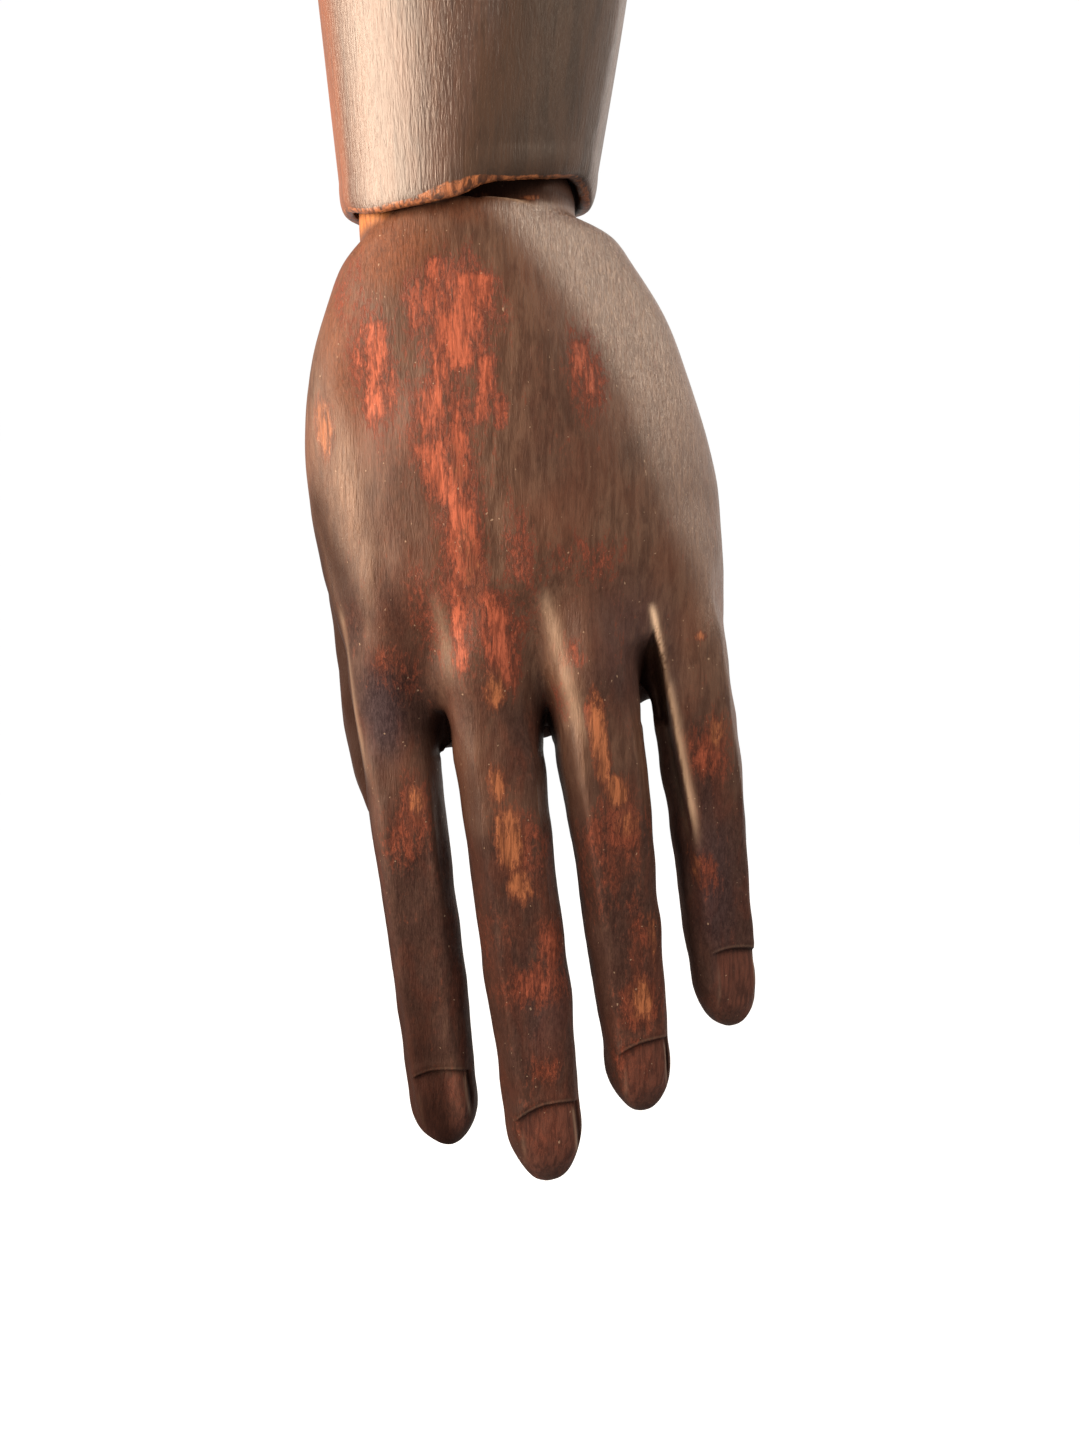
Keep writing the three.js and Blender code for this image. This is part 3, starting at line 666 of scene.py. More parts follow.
palm_rings = []
for share in np.concatenate([[0, 0.006, 0.012, 0.02, 0.03], np.linspace(0.045, 0.985, 64)]):
    thumb_edge, far_edge, back, front, slant_back, slant_front = palm_at(share)
    down = share * PALM_LENGTH
    x, y = oval(120, palm_fullness(down))
    across = x * np.where(x < 0, thumb_edge, far_edge)
    deep = y * np.where(y < 0, back, front)
    near_webs = max(0, (down - WEB_START) / (PALM_LENGTH - WEB_START))
    near_wrist = max(0, 1 - down / SHOULDER_DOWN)
    rise = (WEB_RISE * near_webs - SHOULDER_DROP * near_wrist) * np.maximum(0, x) ** 2
    rise = rise - THUMB_SHOULDER * near_wrist * np.minimum(0, x) ** 4
    rise = rise + LIP_SEAT * near_wrist * np.maximum(0, -y) * (1 - ease(np.abs(x + 0.4), 0.3, 0.55))
    downs = down + deep * np.where(y < 0, slant_back, slant_front) - rise
    palm_rings.append(to_world(np.stack([across, deep + arch_at(across, downs), downs], 1)))
palm_blank = skin(palm_rings[::-1])
print("palm blank of", len(palm_rings), "rings")


# %% The fingers' blanks
TIP_ROUND, FINGER_FULL, FINGER_THICK, TIP_THIN, TIP_CURL = 0.85, 2.55, 0.88, 0.16, 5.0


def palm_back(across, down):
    """How high the back of the palm's blank stands."""
    thumb_edge, far_edge, back = palm_at(down / PALM_LENGTH)[:3]
    share = abs(across) / (thumb_edge if across < 0 else far_edge)
    fullness = palm_fullness(down)
    return back * (1 - share ** fullness) ** (1 / fullness)


def finger_line(finger, down):
    """Half width, half depth and the middle's depth of a finger at a distance down the hand."""
    end = PALM_LENGTH + finger["length"]
    share = max(0.0, (down - PALM_LENGTH) / finger["length"])
    width = finger["base"] + (finger["tip"] - finger["base"]) * min(1, share / 0.8) ** 0.7
    to_end = min(1.0, (end - down) / (TIP_ROUND * finger["tip"]))
    rounding = math.sqrt(max(0.0, 1 - (1 - to_end) ** 2))
    grown = float(ease(down, ROOT_DOWN, ROOT_FULL))
    half = width / 2 * rounding * (ROOT_TAPER + (1 - ROOT_TAPER) * grown)
    thick = half * FINGER_THICK * (1 - TIP_THIN * share)
    root = thick + ROOT_SINK - palm_back(finger["across"], ROOT_DOWN)
    free = float(ease(down, ROOT_DOWN, PALM_LENGTH))
    deep = root + (finger["deep"] - root) * free + TIP_CURL * share ** 2
    return half, thick, deep + float(arch_at(finger["across"], PALM_LENGTH))


def finger_blank(finger):
    """A straight finger with a rounded tip, rolled a little about its length."""
    end = PALM_LENGTH + finger["length"]
    round_part = TIP_ROUND * finger["tip"]
    downs = np.concatenate([
        np.linspace(ROOT_DOWN, end - round_part, 60, endpoint=False),
        end - round_part * (1 - np.sin(np.linspace(0, 0.495 * math.pi, 24))),
    ])
    turn = math.radians(finger["roll"])
    x, y = oval(72, FINGER_FULL)
    rings = []
    for down in downs:
        half, thick, deep = finger_line(finger, down)
        side, depth = half * x, thick * y
        rings.append(to_world(np.stack([
            finger["across"] + side * math.cos(turn) - depth * math.sin(turn),
            deep + side * math.sin(turn) + depth * math.cos(turn),
            np.full(len(x), down),
        ], 1)))
    return skin(rings[::-1])


finger_blanks = [finger_blank(finger) for finger in FINGERS.values()]
print("finger blanks:", list(FINGERS))

# %% The thumb's blank, the barrel and the slot
# place along the thumb, across, deep and down the hand, and half width
thumb_at = through([
    [0, -11, 1, 12, 8], [1, -18.5, 7, 34, 12.8], [2, -24.5, 14.5, 56, 12.6],
    [3, -28.4, 21, 78, 10], [4, -29.1, 23.5, 100, 9.1], [5, -26.2, 23, 122, 5.8]])
THUMB_ROUND, THUMB_LAST, THUMB_FULL, THUMB_FLATTEN = 4.5, 0.5, 2.25, 0.92
thumb_places = np.concatenate([
    np.linspace(0, THUMB_ROUND, 60), THUMB_ROUND + THUMB_LAST * np.sin(np.linspace(0.06, 1.55, 20))])
x, y = oval(64, THUMB_FULL)
thumb_rings = []
for place in thumb_places:
    across, deep, down, half = thumb_at(place)
    half *= math.sqrt(max(0.0, 1 - max(0.0, (place - THUMB_ROUND) / THUMB_LAST) ** 2))
    ring = [across + half * x, deep + THUMB_FLATTEN * half * y, np.full(len(x), down)]
    thumb_rings.append(to_world(np.stack(ring, 1)))
thumb_blank = skin(thumb_rings[::-1])

BARREL_END = KNUCKLE_R - 0.25
barrel_x = np.linspace(-BARREL_END, BARREL_END, 61)
barrel_r = np.minimum(BARREL_R, np.sqrt(np.maximum(0.01, BARREL_END ** 2 - barrel_x ** 2)))
barrel = along(turned(np.stack([barrel_r, barrel_x], 1), 72), "x", at_wrist)

SLOT_R, SLOT_WIDE, TO_PALM, TO_BACK, WRIST_BORE = 8.4, 16.6, 34.5, 12.0, 3.5
wrist_slot = np.vstack([
    arc(SLOT_R, 180 + TO_BACK, 360 - TO_PALM),
    arc(SLOT_R, -TO_PALM, -TO_PALM, 1) + SLOT_REACH * arc(1, 90 - TO_PALM, 90 - TO_PALM, 1),
    arc(SLOT_R, 180 + TO_BACK, 180 + TO_BACK, 1) + SLOT_REACH * arc(1, 90 + TO_BACK, 90 + TO_BACK, 1),
])

CELL = 0.6
hand_mesh = fused(body_of([palm_blank, thumb_blank, barrel, *finger_blanks]), CELL)
hand_mesh = cut_out(
    hand_mesh, [plate(wrist_slot, SLOT_WIDE, "x", at_wrist), hole(WRIST_BORE, "x", at_wrist)])
hand_mesh = fused(hand_mesh, CELL)
print("hand blank in even cells:", len(hand_mesh.polygons))

# %% [markdown]
# ## The hand: carving
# On the real hand, the back is one smooth dome that breaks into a broad flat plane along the little
# finger side, and a narrow one down the thumb side. Low ridges run from the knuckles into the fingers,
# with dips between them that deepen into the webs. The roots are sanded first, the flats are pared by
# planes, and the ridges and dips are raised or pressed along lines drawn on the back of the hand.

# %% Sand the roots
# places of the three webs in the frame, and half sizes of the sanding there in mm
WEBS = ((445, 748), (548, 738), (649, 704))
WEB_WIDE, WEB_LONG = 4.2, 5.0


def off_barrel(hand):
    """1 on the hand, and little on the barrel, which has to keep its fit in the cup."""
    return 1 - 0.8 * ease(-hand[:, 2], -4, 0)


points = points_of(hand_mesh)
hand = to_hand(points)
knuckle = ease(-hand[:, 2], -1.5, 1.5)
points = sanded(hand_mesh, points, 8, off_barrel(hand))
roots = ease(hand[:, 2], 56, 74) * ease(-hand[:, 2], -108, -96) * (1 - knuckle)
points = sanded(hand_mesh, points, 55, roots)
web_mask = np.zeros(len(points))
for right, down in WEBS:
    x, z = seen(right, down, -4)
    away = np.hypot((points[:, 0] - x) / WEB_WIDE, (points[:, 2] - z) / WEB_LONG)
    web_mask = np.maximum(web_mask, 1 - ease(away, 0.5, 1.2))
points = sanded(hand_mesh, points, 45, web_mask)
put_points(hand_mesh, points)
hand = to_hand(points)
print("hand in", len(hand_mesh.polygons), "cells")


# %% Pare the flats of the back
PLANE_FACING = (0.49, -0.86, 0.135)


def soft_cut(proud, soft):
    """How much comes off where that much stands proud, with a soft edge."""
    return np.logaddexp(0, proud / soft) * soft


def pare(points, place, facing, soft, mask):
    """Takes down what stands proud of a plane."""
    facing = np.asarray(facing, float) / np.linalg.norm(facing)
    proud = (points - np.asarray(place, float)) @ facing
    return points - (soft_cut(proud, soft) * mask)[:, None] * facing


ulnar = ease(hand[:, 2], -1.5, 3) * ease(-hand[:, 2], -104, -76) * ease(points[:, 0], -6, 6)
points = pare(points, (21, -11.3, -336), PLANE_FACING, 1.3, ulnar)
x, z = seen(350, 490, -10.4)
radial = ease(hand[:, 2], 22, 40) * ease(-hand[:, 2], -78, -60)
points = pare(points, (x, -10.2, z), (-0.46, -0.88, 0.02), 0.35, radial)
put_points(hand_mesh, points)
hand = to_hand(points)
print("points in the flats:", int((ulnar > 0.5).sum()), "and", int((radial > 0.5).sum()))


# %% Pare a flat back and two side walls on each finger
def into_section(finger, across, depth):
    """Across and depth from a finger's middle, turned into its own section."""
    turn = math.radians(finger["roll"])
    side = across * math.cos(turn) + depth * math.sin(turn)
    return side, depth * math.cos(turn) - across * math.sin(turn)


def finger_section(hand, finger):
    """Side and depth of each point in a finger's own section, with the half sizes there, in mm."""
    downs = np.linspace(ROOT_DOWN, PALM_LENGTH + finger["length"] - 6, 120)
    rows = np.array([finger_line(finger, down) for down in downs])
    half, thick, deep = (np.interp(hand[:, 2], downs, rows[:, k]) for k in range(3))
    side, depth = into_section(finger, hand[:, 0] - finger["across"], hand[:, 1] - deep)
    return side, depth, half, thick


def section_move(finger, side, depth):
    """A move in a finger's section, as a move in the world."""
    turn = math.radians(finger["roll"])
    across = side * math.cos(turn) - depth * math.sin(turn)
    deep = side * math.sin(turn) + depth * math.cos(turn)
    return np.stack([across * math.cos(LEAN), deep, across * math.sin(LEAN)], -1)


# facing in the section, how much of the round is left, and where down the finger the flat begins
FLATS = [((0.0, -1.0), 0.89, 90), ((-0.88, -0.475), 0.93, 86), ((0.85, -0.53), 0.95, 92)]
FLAT_SOFT, REACH_POWER = 0.25, 1.645  # the power gives an oval's reach in any direction
for finger in FINGERS.values():
    end = PALM_LENGTH + finger["length"]
    for (to_side, to_depth), left, begin in FLATS:
        side, depth, half, thick = finger_section(hand, finger)
        near = (np.abs(side) < 1.25 * half) & (np.abs(depth) < 1.35 * thick)
        reach = (abs(to_side) * half) ** REACH_POWER + (abs(to_depth) * thick) ** REACH_POWER
        proud = side * to_side + depth * to_depth - left * reach ** (1 / REACH_POWER)
        cut = soft_cut(proud, FLAT_SOFT)
        cut *= near * ease(hand[:, 2], begin, begin + 16) * ease(end - hand[:, 2], 1, 9)
        points -= section_move(finger, cut * to_side, cut * to_depth)
        hand = to_hand(points)
put_points(hand_mesh, points)
print("flats on", len(FINGERS), "fingers")

# %% [markdown]
# The ridges, dips and steps are strokes of a knife. Each is a line drawn in the frame, which is laid on
# the back of the hand, and the points near it go up or down by how far they are from it. Dark pockets
# above the webs are pressed in the same way, inside an outline.

# %% Lines drawn on the back of the hand
def bell(value, middle, wide):
    """1 at the middle, falling off smoothly to both sides."""
    return np.exp(-((value - middle) / wide) ** 2)


def line_distance(x, z, line):
    """Distance of each point right of a drawn line, and how far along the line it is, from 0 to 1."""
    best = np.full(len(x), 1e9)
    share = np.zeros(len(x))
    sign = np.ones(len(x))
    ends = np.asarray(line, float)
    lengths = np.hypot(*np.diff(ends, axis=0).T)
    total, run = lengths.sum(), 0.0
    for (x0, z0), (x1, z1), length in zip(ends[:-1], ends[1:], lengths):
        t = np.clip(((x - x0) * (x1 - x0) + (z - z0) * (z1 - z0)) / length ** 2, 0, 1)
        gap = np.hypot(x - x0 - t * (x1 - x0), z - z0 - t * (z1 - z0))
        nearer = gap < best
        best = np.where(nearer, gap, best)
        share = np.where(nearer, (run + t * length) / total, share)
        sign = np.where(nearer, np.sign((x1 - x0) * (z - z0) - (z1 - z0) * (x - x0)), sign)
        run += length
    return best * sign, share


def drawn(line, near=BACK_Y):
    """A line in the frame, as world x and z."""
    return np.stack(seen(*np.asarray(line, float).T, near), 1)


def line_gap(points, line, near=BACK_Y):
    """Distance of each point right of a line in the frame, and how far along the line it is."""
    return line_distance(points[:, 0], points[:, 2], drawn(line, near))


def faded(share, first, last):
    """1 along a line, fading to 0 over the first and last shares of it."""
    return ease(share, 0, first) * ease(1 - share, 0, last)


# %% Ridges, dips, steps and pockets
# line in the frame, width left and right of it in mm, height in mm, and how much of each end fades
STROKES = [
    ([(490, 235), (545, 330), (612, 450), (672, 575)], 9, 7, 0.8, 0.3, 0.3),
    ([(372, 560), (388, 640), (400, 700)], 6, 5, 0.6, 0.4, 0.4),
    ([(460, 560), (475, 640), (488, 710)], 5, 6, 0.9, 0.5, 0.4),
    ([(572, 580), (590, 650), (603, 720)], 5, 6, 0.9, 0.5, 0.4),
    ([(414, 580), (428, 650), (440, 730), (451, 810)], 5, 2.6, -2.2, 0.45, 0.45),
    ([(524, 580), (538, 650), (549, 722), (559, 800)], 5, 2.4, -2.6, 0.45, 0.45),
    ([(640, 590), (648, 640), (652, 700), (660, 770)], 4.5, 2.2, -1.6, 0.4, 0.45),
]
# line in the frame, its depth, how far the step runs left of it, its drop and its rounding in mm,
# and how much of each end fades
STEPS = [
    ([(658, 628), (669, 670), (679, 724), (691, 790), (702, 870)], -12, 4.5, 3.2, 1.1, 0.12, 0.35),
    ([(340, 612), (350, 700), (367, 795)], -4, 9, 3.6, 1.0, 0.3, 0.2),
]
# outlines in the frame of the dark pockets above the webs, and their depth in mm
POCKETS = [
    ([(433, 708), (448, 706), (455, 728), (456, 760), (430, 760), (427, 728)], 5.0),
    ([(541, 702), (553, 706), (559, 735), (560, 755), (539, 755), (537, 722)], 5.0),
    ([(653, 618), (662, 642), (672, 690), (678, 726), (640, 726), (642, 690), (646, 650)], 6.0),
]
POCKET_Y, POCKET_EDGE, STEP_END, END_SLACK = -9.0, 1.6, 4.0, 0.001
print(len(STROKES), "strokes,", len(STEPS), "steps and", len(POCKETS), "pockets")

# %% Move the points along those lines
back_side = ease(-points[:, 1], -5, 3) * (1 - knuckle)
lift = np.zeros(len(points))
for line, wide_left, wide_right, high, fade_in, fade_out in STROKES:
    gap, share = line_gap(points, line)
    ends = ease(share, -END_SLACK, fade_in + END_SLACK)
    ends = ends * ease(1 - share, -END_SLACK, fade_out + END_SLACK)
    lift += high * bell(gap, 0, np.where(gap < 0, wide_left, wide_right)) * ends
for line, near, run, drop, soft, fade_in, fade_out in STEPS:
    gap, share = line_gap(points, line, near)
    lift -= drop * band(-gap, 0, soft, run, run + STEP_END) * faded(share, fade_in, fade_out)
for outline, deep in POCKETS:
    loop = drawn([*outline, outline[0]], POCKET_Y)
    gap = line_distance(points[:, 0], points[:, 2], loop)[0]
    within = np.zeros(len(points), bool)
    for (x0, z0), (x1, z1) in zip(loop[:-1], loop[1:]):
        crosses = (z0 > points[:, 2]) != (z1 > points[:, 2])
        within ^= crosses & (points[:, 0] < x0 + (points[:, 2] - z0) * (x1 - x0) / (z1 - z0 + 1e-9))
    lift -= deep * ease(np.abs(gap), 0, POCKET_EDGE) * within
moved = -lift * back_side
points[:, 1] += moved
points = sanded(hand_mesh, points, 3, off_barrel(hand))
put_points(hand_mesh, points)
print("strokes moved the back by %.1f to %.1f mm" % (moved.min(), moved.max()))

# %% [markdown]
# A knife never leaves a surface quite even. A few slow waves, longer down the grain than across it, move
# the points by a fraction of a millimetre, which breaks up the highlights and the outlines of the fingers.
# The pared plane stays truer, because it was scraped flat.

# %% Give the hand its carved unevenness
def normals_of(mesh):
    """Which way the surface faces at each point."""
    flat = np.zeros(len(mesh.vertices) * 3, np.float32)
    mesh.vertex_normals.foreach_get("vector", flat)
    return flat.reshape(-1, 3).astype(float)


WAVES = [(0.10, 15.0), (0.08, 10.0), (0.06, 6.5), (0.045, 4.5)]  # height and length in mm
GRAIN_LONG = 0.45
dice = np.random.default_rng(7)
hand = to_hand(points)
facing = normals_of(hand_mesh)
uneven = np.zeros(len(points))
for amount, size in WAVES:
    for way in dice.normal(size=(4, 3)):
        way = way / np.linalg.norm(way) * np.array([1, 1, GRAIN_LONG])
        uneven += amount * np.sin(2 * math.pi * (hand @ way) / size + dice.uniform(0, 2 * math.pi))
scraped = ease(facing @ np.array(PLANE_FACING), 0.88, 0.96)
spread = 0.3 * ease(hand[:, 2], 2, 9) + 0.7 * ease(hand[:, 2], 40, 85)
points = points + (uneven * spread * (1 - 0.75 * scraped))[:, None] * facing
put_points(hand_mesh, points)
print("carving waves of %.2f mm at most" % np.abs(uneven).max())

# %% [markdown]
# ## The fingernails
# Each nail is a flat plate let in a little below the skin, with a curved fold at its root and a narrow
# groove along its edge. Nails could be thin plates laid on, but the real ones are cut in the same block,
# so they are pressed into the hand's own skin. The cells there are split finer first, because the fold
# is only half a millimetre wide.

# %% Split the cells at the fingertips
# length from the tip, how far the fold curves at its right and left, its tilt, and the plate's left edge
NAILS = {
    "index": (16.7, 0.9, 2.4, -0.036, -0.62), "middle": (16.4, 1.3, 3.0, 0.10, -0.62),
    "ring": (14.7, 0.9, 2.0, 0.14, -0.56), "little": (16.4, 0.9, 2.0, -0.09, -0.5)}


def nail_frame(points, finger, nail, curve_right, curve_left, tilt):
    """Across, above and past the fold of a nail, for each point."""
    hand = to_hand(points)
    fold = PALM_LENGTH + finger["length"] - nail
    half, _, deep = finger_line(finger, fold)
    side, depth = into_section(finger, hand[:, 0] - finger["across"], hand[:, 1] - deep)
    curve = np.where(side < 0, curve_left, curve_right)
    past = hand[:, 2] - fold - curve * (side / half) ** 2 + tilt * side
    return side / half, depth, past


near_nail = np.zeros(len(points), bool)
for name, (nail, *bends, _) in NAILS.items():
    side, depth, past = nail_frame(points, FINGERS[name], nail, *bends)
    near_nail |= (np.abs(side) < 1.05) & (depth < 1.5) & (past > -1.8) & (past < nail + 2)
split_cells(hand_mesh, near_nail, 2)
print("points split for the nails:", int(near_nail.sum()))

# %% Press in the nails
# shares of a finger's half width: the plate's right edge, where it ends, and the groove beside it
PLATE_RIGHT, PLATE_END, GROOVE_AT, GROOVE_WIDE = 0.70, 0.76, 0.79, 0.055
points = points_of(hand_mesh)
nail_shade, nail_highlights, on_nail = np.zeros((3, len(points)))
for name, (nail, *bends, left) in NAILS.items():
    finger = FINGERS[name]
    side, depth, past = nail_frame(points, finger, nail, *bends)
    on_back = ease(-depth, 0.2, 2.0) * (np.abs(side) < 1.2) * (past < nail + 3)
    within = band(side, left - 0.22, left + 0.12, PLATE_RIGHT, PLATE_END)
    down_plate = ease(past, -0.05, 0.45)
    to_tip = 1 - ease(past, nail - 8, nail - 3)
    plate_in = down_plate * (0.2 + 0.85 * np.exp(-np.maximum(past, 0) / 3.5)) * within
    right_groove = bell(side, GROOVE_AT, GROOVE_WIDE) * down_plate * to_tip
    swell = bell(past, -1.1, 1.0) * ease(0.95 - np.abs(side), 0, 0.3)
    press = (plate_in + right_groove - 0.25 * swell) * on_back
    points += section_move(finger, np.zeros(len(points)), press)
    # painted shadow below the nail's fold and in the groove beside the plate
    cove = ease(past, -0.1, 0.2) * np.exp(-np.maximum(past, 0) / 0.9) * within
    shade = np.clip(0.78 * cove + 0.9 * right_groove, 0, 1)
    # painted highlights: light lines along the fold, the plate's right edge and its left edge
    fold_highlight = bell(past, -0.3, 0.25) * band(side, left - 0.3, left + 0.1, 0.6, 0.8)
    side_highlight = bell(side, PLATE_RIGHT, 0.035) * ease(past, 0.8, 2.5) * to_tip
    left_highlight = bell(side, left, 0.05) * ease(past, 2, 5) * to_tip
    edges = 0.06 * fold_highlight + 0.2 * side_highlight + 0.06 * left_highlight
    nail_shade = np.maximum(nail_shade, shade * on_back)
    nail_highlights = np.maximum(nail_highlights, edges * on_back)
    on_nail = np.maximum(on_nail, within * band(past, 0.3, 1.5, nail - 6, nail) * on_back)
put_points(hand_mesh, points)
print("hand with nails:", len(hand_mesh.polygons), "faces")

# %% [markdown]
# ## Where the finish is worn, and where light and shade are painted
# The hand was stained dark brown over a red-orange wood. Handling has taken the stain off in streaks
# down the middle of the back, at the knuckles and on the fingers. Each worn place is a soft ellipse or
# line drawn in the frame, and its strength is stored as a number on the points. Some of these marks also
# paint highlights, sheen, shade and a cool reflection into the colour. The finish later breaks them up
# along the grain, which is how stain really comes off wood.

# %% Soft places and lines drawn in the frame
def places(points, rows):
    """The strongest of several soft ellipses, which lean as the hand does."""
    strength = np.zeros(len(points))
    for right, down, wide, high, amount in rows:
        x0, z0 = seen(right, down)
        dx, dz = points[:, 0] - x0, points[:, 2] - z0
        across = (dx * math.cos(LEAN) + dz * math.sin(LEAN)) / (wide * POINT_MM)
        length = (dz * math.cos(LEAN) - dx * math.sin(LEAN)) / (high * POINT_MM)
        strength = np.maximum(strength, amount * (1 - ease(np.hypot(across, length), 0.2, 1.45)))
    return strength


def lines(points, rows):
    """The strongest of several soft lines, fading at both ends."""
    strength = np.zeros(len(points))
    for line, near, wide, amount in rows:
        gap, share = line_gap(points, line, near)
        strength = np.maximum(strength, amount * bell(gap, 0, wide) * faded(share, 0.12, 0.3))
    return strength


# %% Where the red wood shows
# middle and half sizes of each place in the frame, and its strength
RED_WEAR = [
    (460, 318, 48, 64, 0.78), (428, 330, 36, 70, 0.66), (374, 372, 30, 80, 0.72), (440, 420, 46, 70, 0.66),
    (462, 520, 32, 86, 0.7), (466, 590, 32, 62, 0.72), (496, 640, 30, 62, 0.7), (584, 376, 24, 58, 0.66),
    (415, 812, 18, 42, 0.62), (398, 848, 24, 40, 0.58), (552, 952, 14, 36, 0.7), (532, 988, 42, 28, 0.74),
    (642, 1012, 26, 36, 0.72), (622, 826, 32, 42, 0.66), (714, 752, 30, 40, 0.7), (528, 850, 26, 44, 0.62),
    (712, 880, 28, 32, 0.5), (560, 700, 20, 30, 0.4), (425, 610, 22, 60, 0.5), (396, 672, 30, 34, 0.42),
    (635, 1075, 28, 36, 0.6), (436, 1100, 28, 26, 0.56), (545, 1140, 32, 34, 0.48), (545, 1076, 24, 16, 0.5),
    (580, 560, 60, 30, 0.38), (350, 300, 26, 60, 0.42), (570, 655, 16, 26, 0.56), (520, 560, 20, 80, 0.48),
    (600, 870, 30, 60, 0.4), (480, 940, 30, 60, 0.36), (640, 940, 16, 60, 0.42),
]
# lines in the frame where the red wood shows most: depth, half width in mm and strength
RED_LINES = [
    ([(438, 254), (435, 285), (432, 325)], -17, 2.6, 0.9),
    ([(472, 266), (472, 300), (462, 340), (450, 390)], -17, 5.0, 1.0),
    ([(446, 298), (446, 332), (440, 372), (430, 420), (428, 466)], -17, 2.9, 0.9),
    ([(376, 312), (378, 350), (372, 392), (380, 440)], -15, 3.2, 1.0),
    ([(486, 350), (486, 395), (470, 435)], -17, 2.5, 0.85),
    ([(422, 425), (440, 475), (456, 505), (464, 540), (466, 590), (466, 630)], -16, 4.0, 1.05),
    ([(462, 390), (460, 440), (464, 505)], -17, 2.6, 0.95),
    ([(457, 590), (460, 640), (463, 690)], -15, 2.0, 0.95),
    ([(480, 584), (496, 620), (504, 655), (506, 710)], -14, 3.0, 1.0),
    ([(576, 338), (587, 372), (593, 408)], -15, 2.2, 0.95),
    ([(500, 390), (502, 436)], -17, 1.6, 0.75),
    ([(587, 696), (596, 735), (609, 795)], -12, 1.5, 1.0),
    ([(716, 712), (726, 742), (722, 772)], -8, 1.3, 0.85),
    ([(652, 985), (656, 1030)], -8, 1.2, 0.8),
]
print("red wood:", len(RED_WEAR), "places and", len(RED_LINES), "lines")

# %% Where tan wood shows, where rubbing and painted highlights lighten the stain, where it is warm, where dusky stain and painted shade fall, and where a cool reflection is painted
TAN_WEAR = [
    (494, 690, 14, 26, 0.95), (497, 784, 13, 26, 0.95), (508, 840, 19, 40, 1.05), (520, 888, 16, 22, 0.95),
    (600, 742, 12, 56, 1.15), (618, 793, 15, 24, 1.0), (628, 824, 20, 20, 0.65), (706, 633, 8, 7, 0.9),
    (321, 425, 12, 40, 1.0), (724, 732, 12, 24, 1.0), (414, 802, 10, 24, 0.85), (645, 1008, 17, 28, 0.9),
    (697, 872, 10, 30, 0.9), (750, 940, 5, 14, 0.8), (655, 945, 5, 42, 0.65), (470, 575, 16, 56, 0.6),
    (462, 470, 14, 40, 0.5), (482, 199, 14, 4, 1.1), (531, 201, 12, 4, 1.1), (424, 206, 9, 4, 1.0),
]
# rubbed places, most of them painted highlights: down the thumb side, on the knuckle ridges, along the
# little finger's ridge and on the index nail
RUBBED_AND_HIGHLIGHTS = [
    (345, 480, 16, 74, 0.95), (366, 560, 9, 46, 0.5), (440, 628, 7, 40, 0.42), (555, 640, 11, 60, 0.7),
    (577, 722, 10, 72, 0.6), (664, 640, 6, 40, 0.7), (675, 705, 5, 50, 0.7), (686, 780, 7, 50, 0.5),
    (443, 1106, 24, 34, 0.4),
]
WARM = [(390, 260, 60, 46, 0.9), (345, 340, 30, 100, 0.8), (470, 215, 60, 20, 0.5), (420, 480, 50, 120, 0.2)]
# darker, dusky stain, partly painted shade: at the finger roots, down the thumb's side and on the lit left
# of the back
DUSK_AND_SHADE = [
    (385, 700, 60, 80, 1.0), (520, 745, 40, 70, 0.8), (610, 690, 50, 60, 0.6), (705, 790, 46, 110, 0.9),
    (410, 900, 60, 180, 0.8), (530, 960, 70, 200, 0.8), (625, 930, 60, 180, 0.85), (725, 920, 60, 120, 0.9),
    (560, 430, 46, 90, 0.4), (440, 1090, 60, 90, 0.7), (620, 800, 40, 60, 0.6), (402, 500, 34, 110, 0.45),
    (392, 610, 36, 60, 0.7), (348, 622, 18, 60, 0.9), (470, 705, 50, 46, 0.6), (590, 610, 60, 60, 0.4),
]
# a bluish tint, painted as the reflection of a cool surround, most at the index root and the little finger
COOL_REFLECTION = [
    (378, 716, 22, 52, 1.0), (728, 905, 34, 90, 0.95), (640, 640, 46, 70, 0.55), (545, 1010, 30, 60, 0.3),
    (735, 990, 26, 34, 0.8),
]
print("tan wood:", len(TAN_WEAR), "places, dusky stain:", len(DUSK_AND_SHADE), "places")

# %% Painted highlights along lines, and the edges of the polished plane and of the thumb's side
# lines in the frame with painted highlights, some on pale worn ridges: depth, half width in mm and strength
HIGHLIGHT_LINES = [
    ([(652, 598), (656, 615), (661, 640), (668, 676), (676, 718)], -12, 0.6, 1.0),
    ([(666, 668), (676, 716), (685, 762), (695, 812), (703, 860)], -12, 1.0, 0.6),
    ([(541, 585), (551, 618), (561, 655), (573, 700), (586, 752)], -12, 1.3, 0.24),
    ([(431, 588), (439, 615), (446, 648), (453, 690)], -12, 1.1, 0.08),
    ([(424, 206), (453, 198), (480, 196), (522, 200), (545, 204)], -17, 0.4, 0.45),
]
# a painted highlight along the edge of the index finger above the thumb: its points lie near one depth
INDEX_EDGE_HIGHLIGHT = [([(340, 600), (346, 650), (354, 700), (362, 745), (370, 792)], -4, 0.7, 0.24)]
EDGE_DEPTH, EDGE_SPREAD = -4.0, 1.6
# left edge of the polished plane, and the edge over the thumb's side, below which shade is painted
PLANE_EDGE = [
    (470, 204), (500, 232), (548, 276), (576, 313), (604, 350), (630, 402), (647, 450), (662, 492),
    (690, 561), (708, 621), (722, 680)]
UNDER_EDGE = [
    (316, 446), (324, 474), (330, 495), (336, 517), (345, 540), (354, 563), (360, 586), (363, 610),
    (361, 636)]
print("pale lines:", len(HIGHLIGHT_LINES) + len(INDEX_EDGE_HIGHLIGHT))
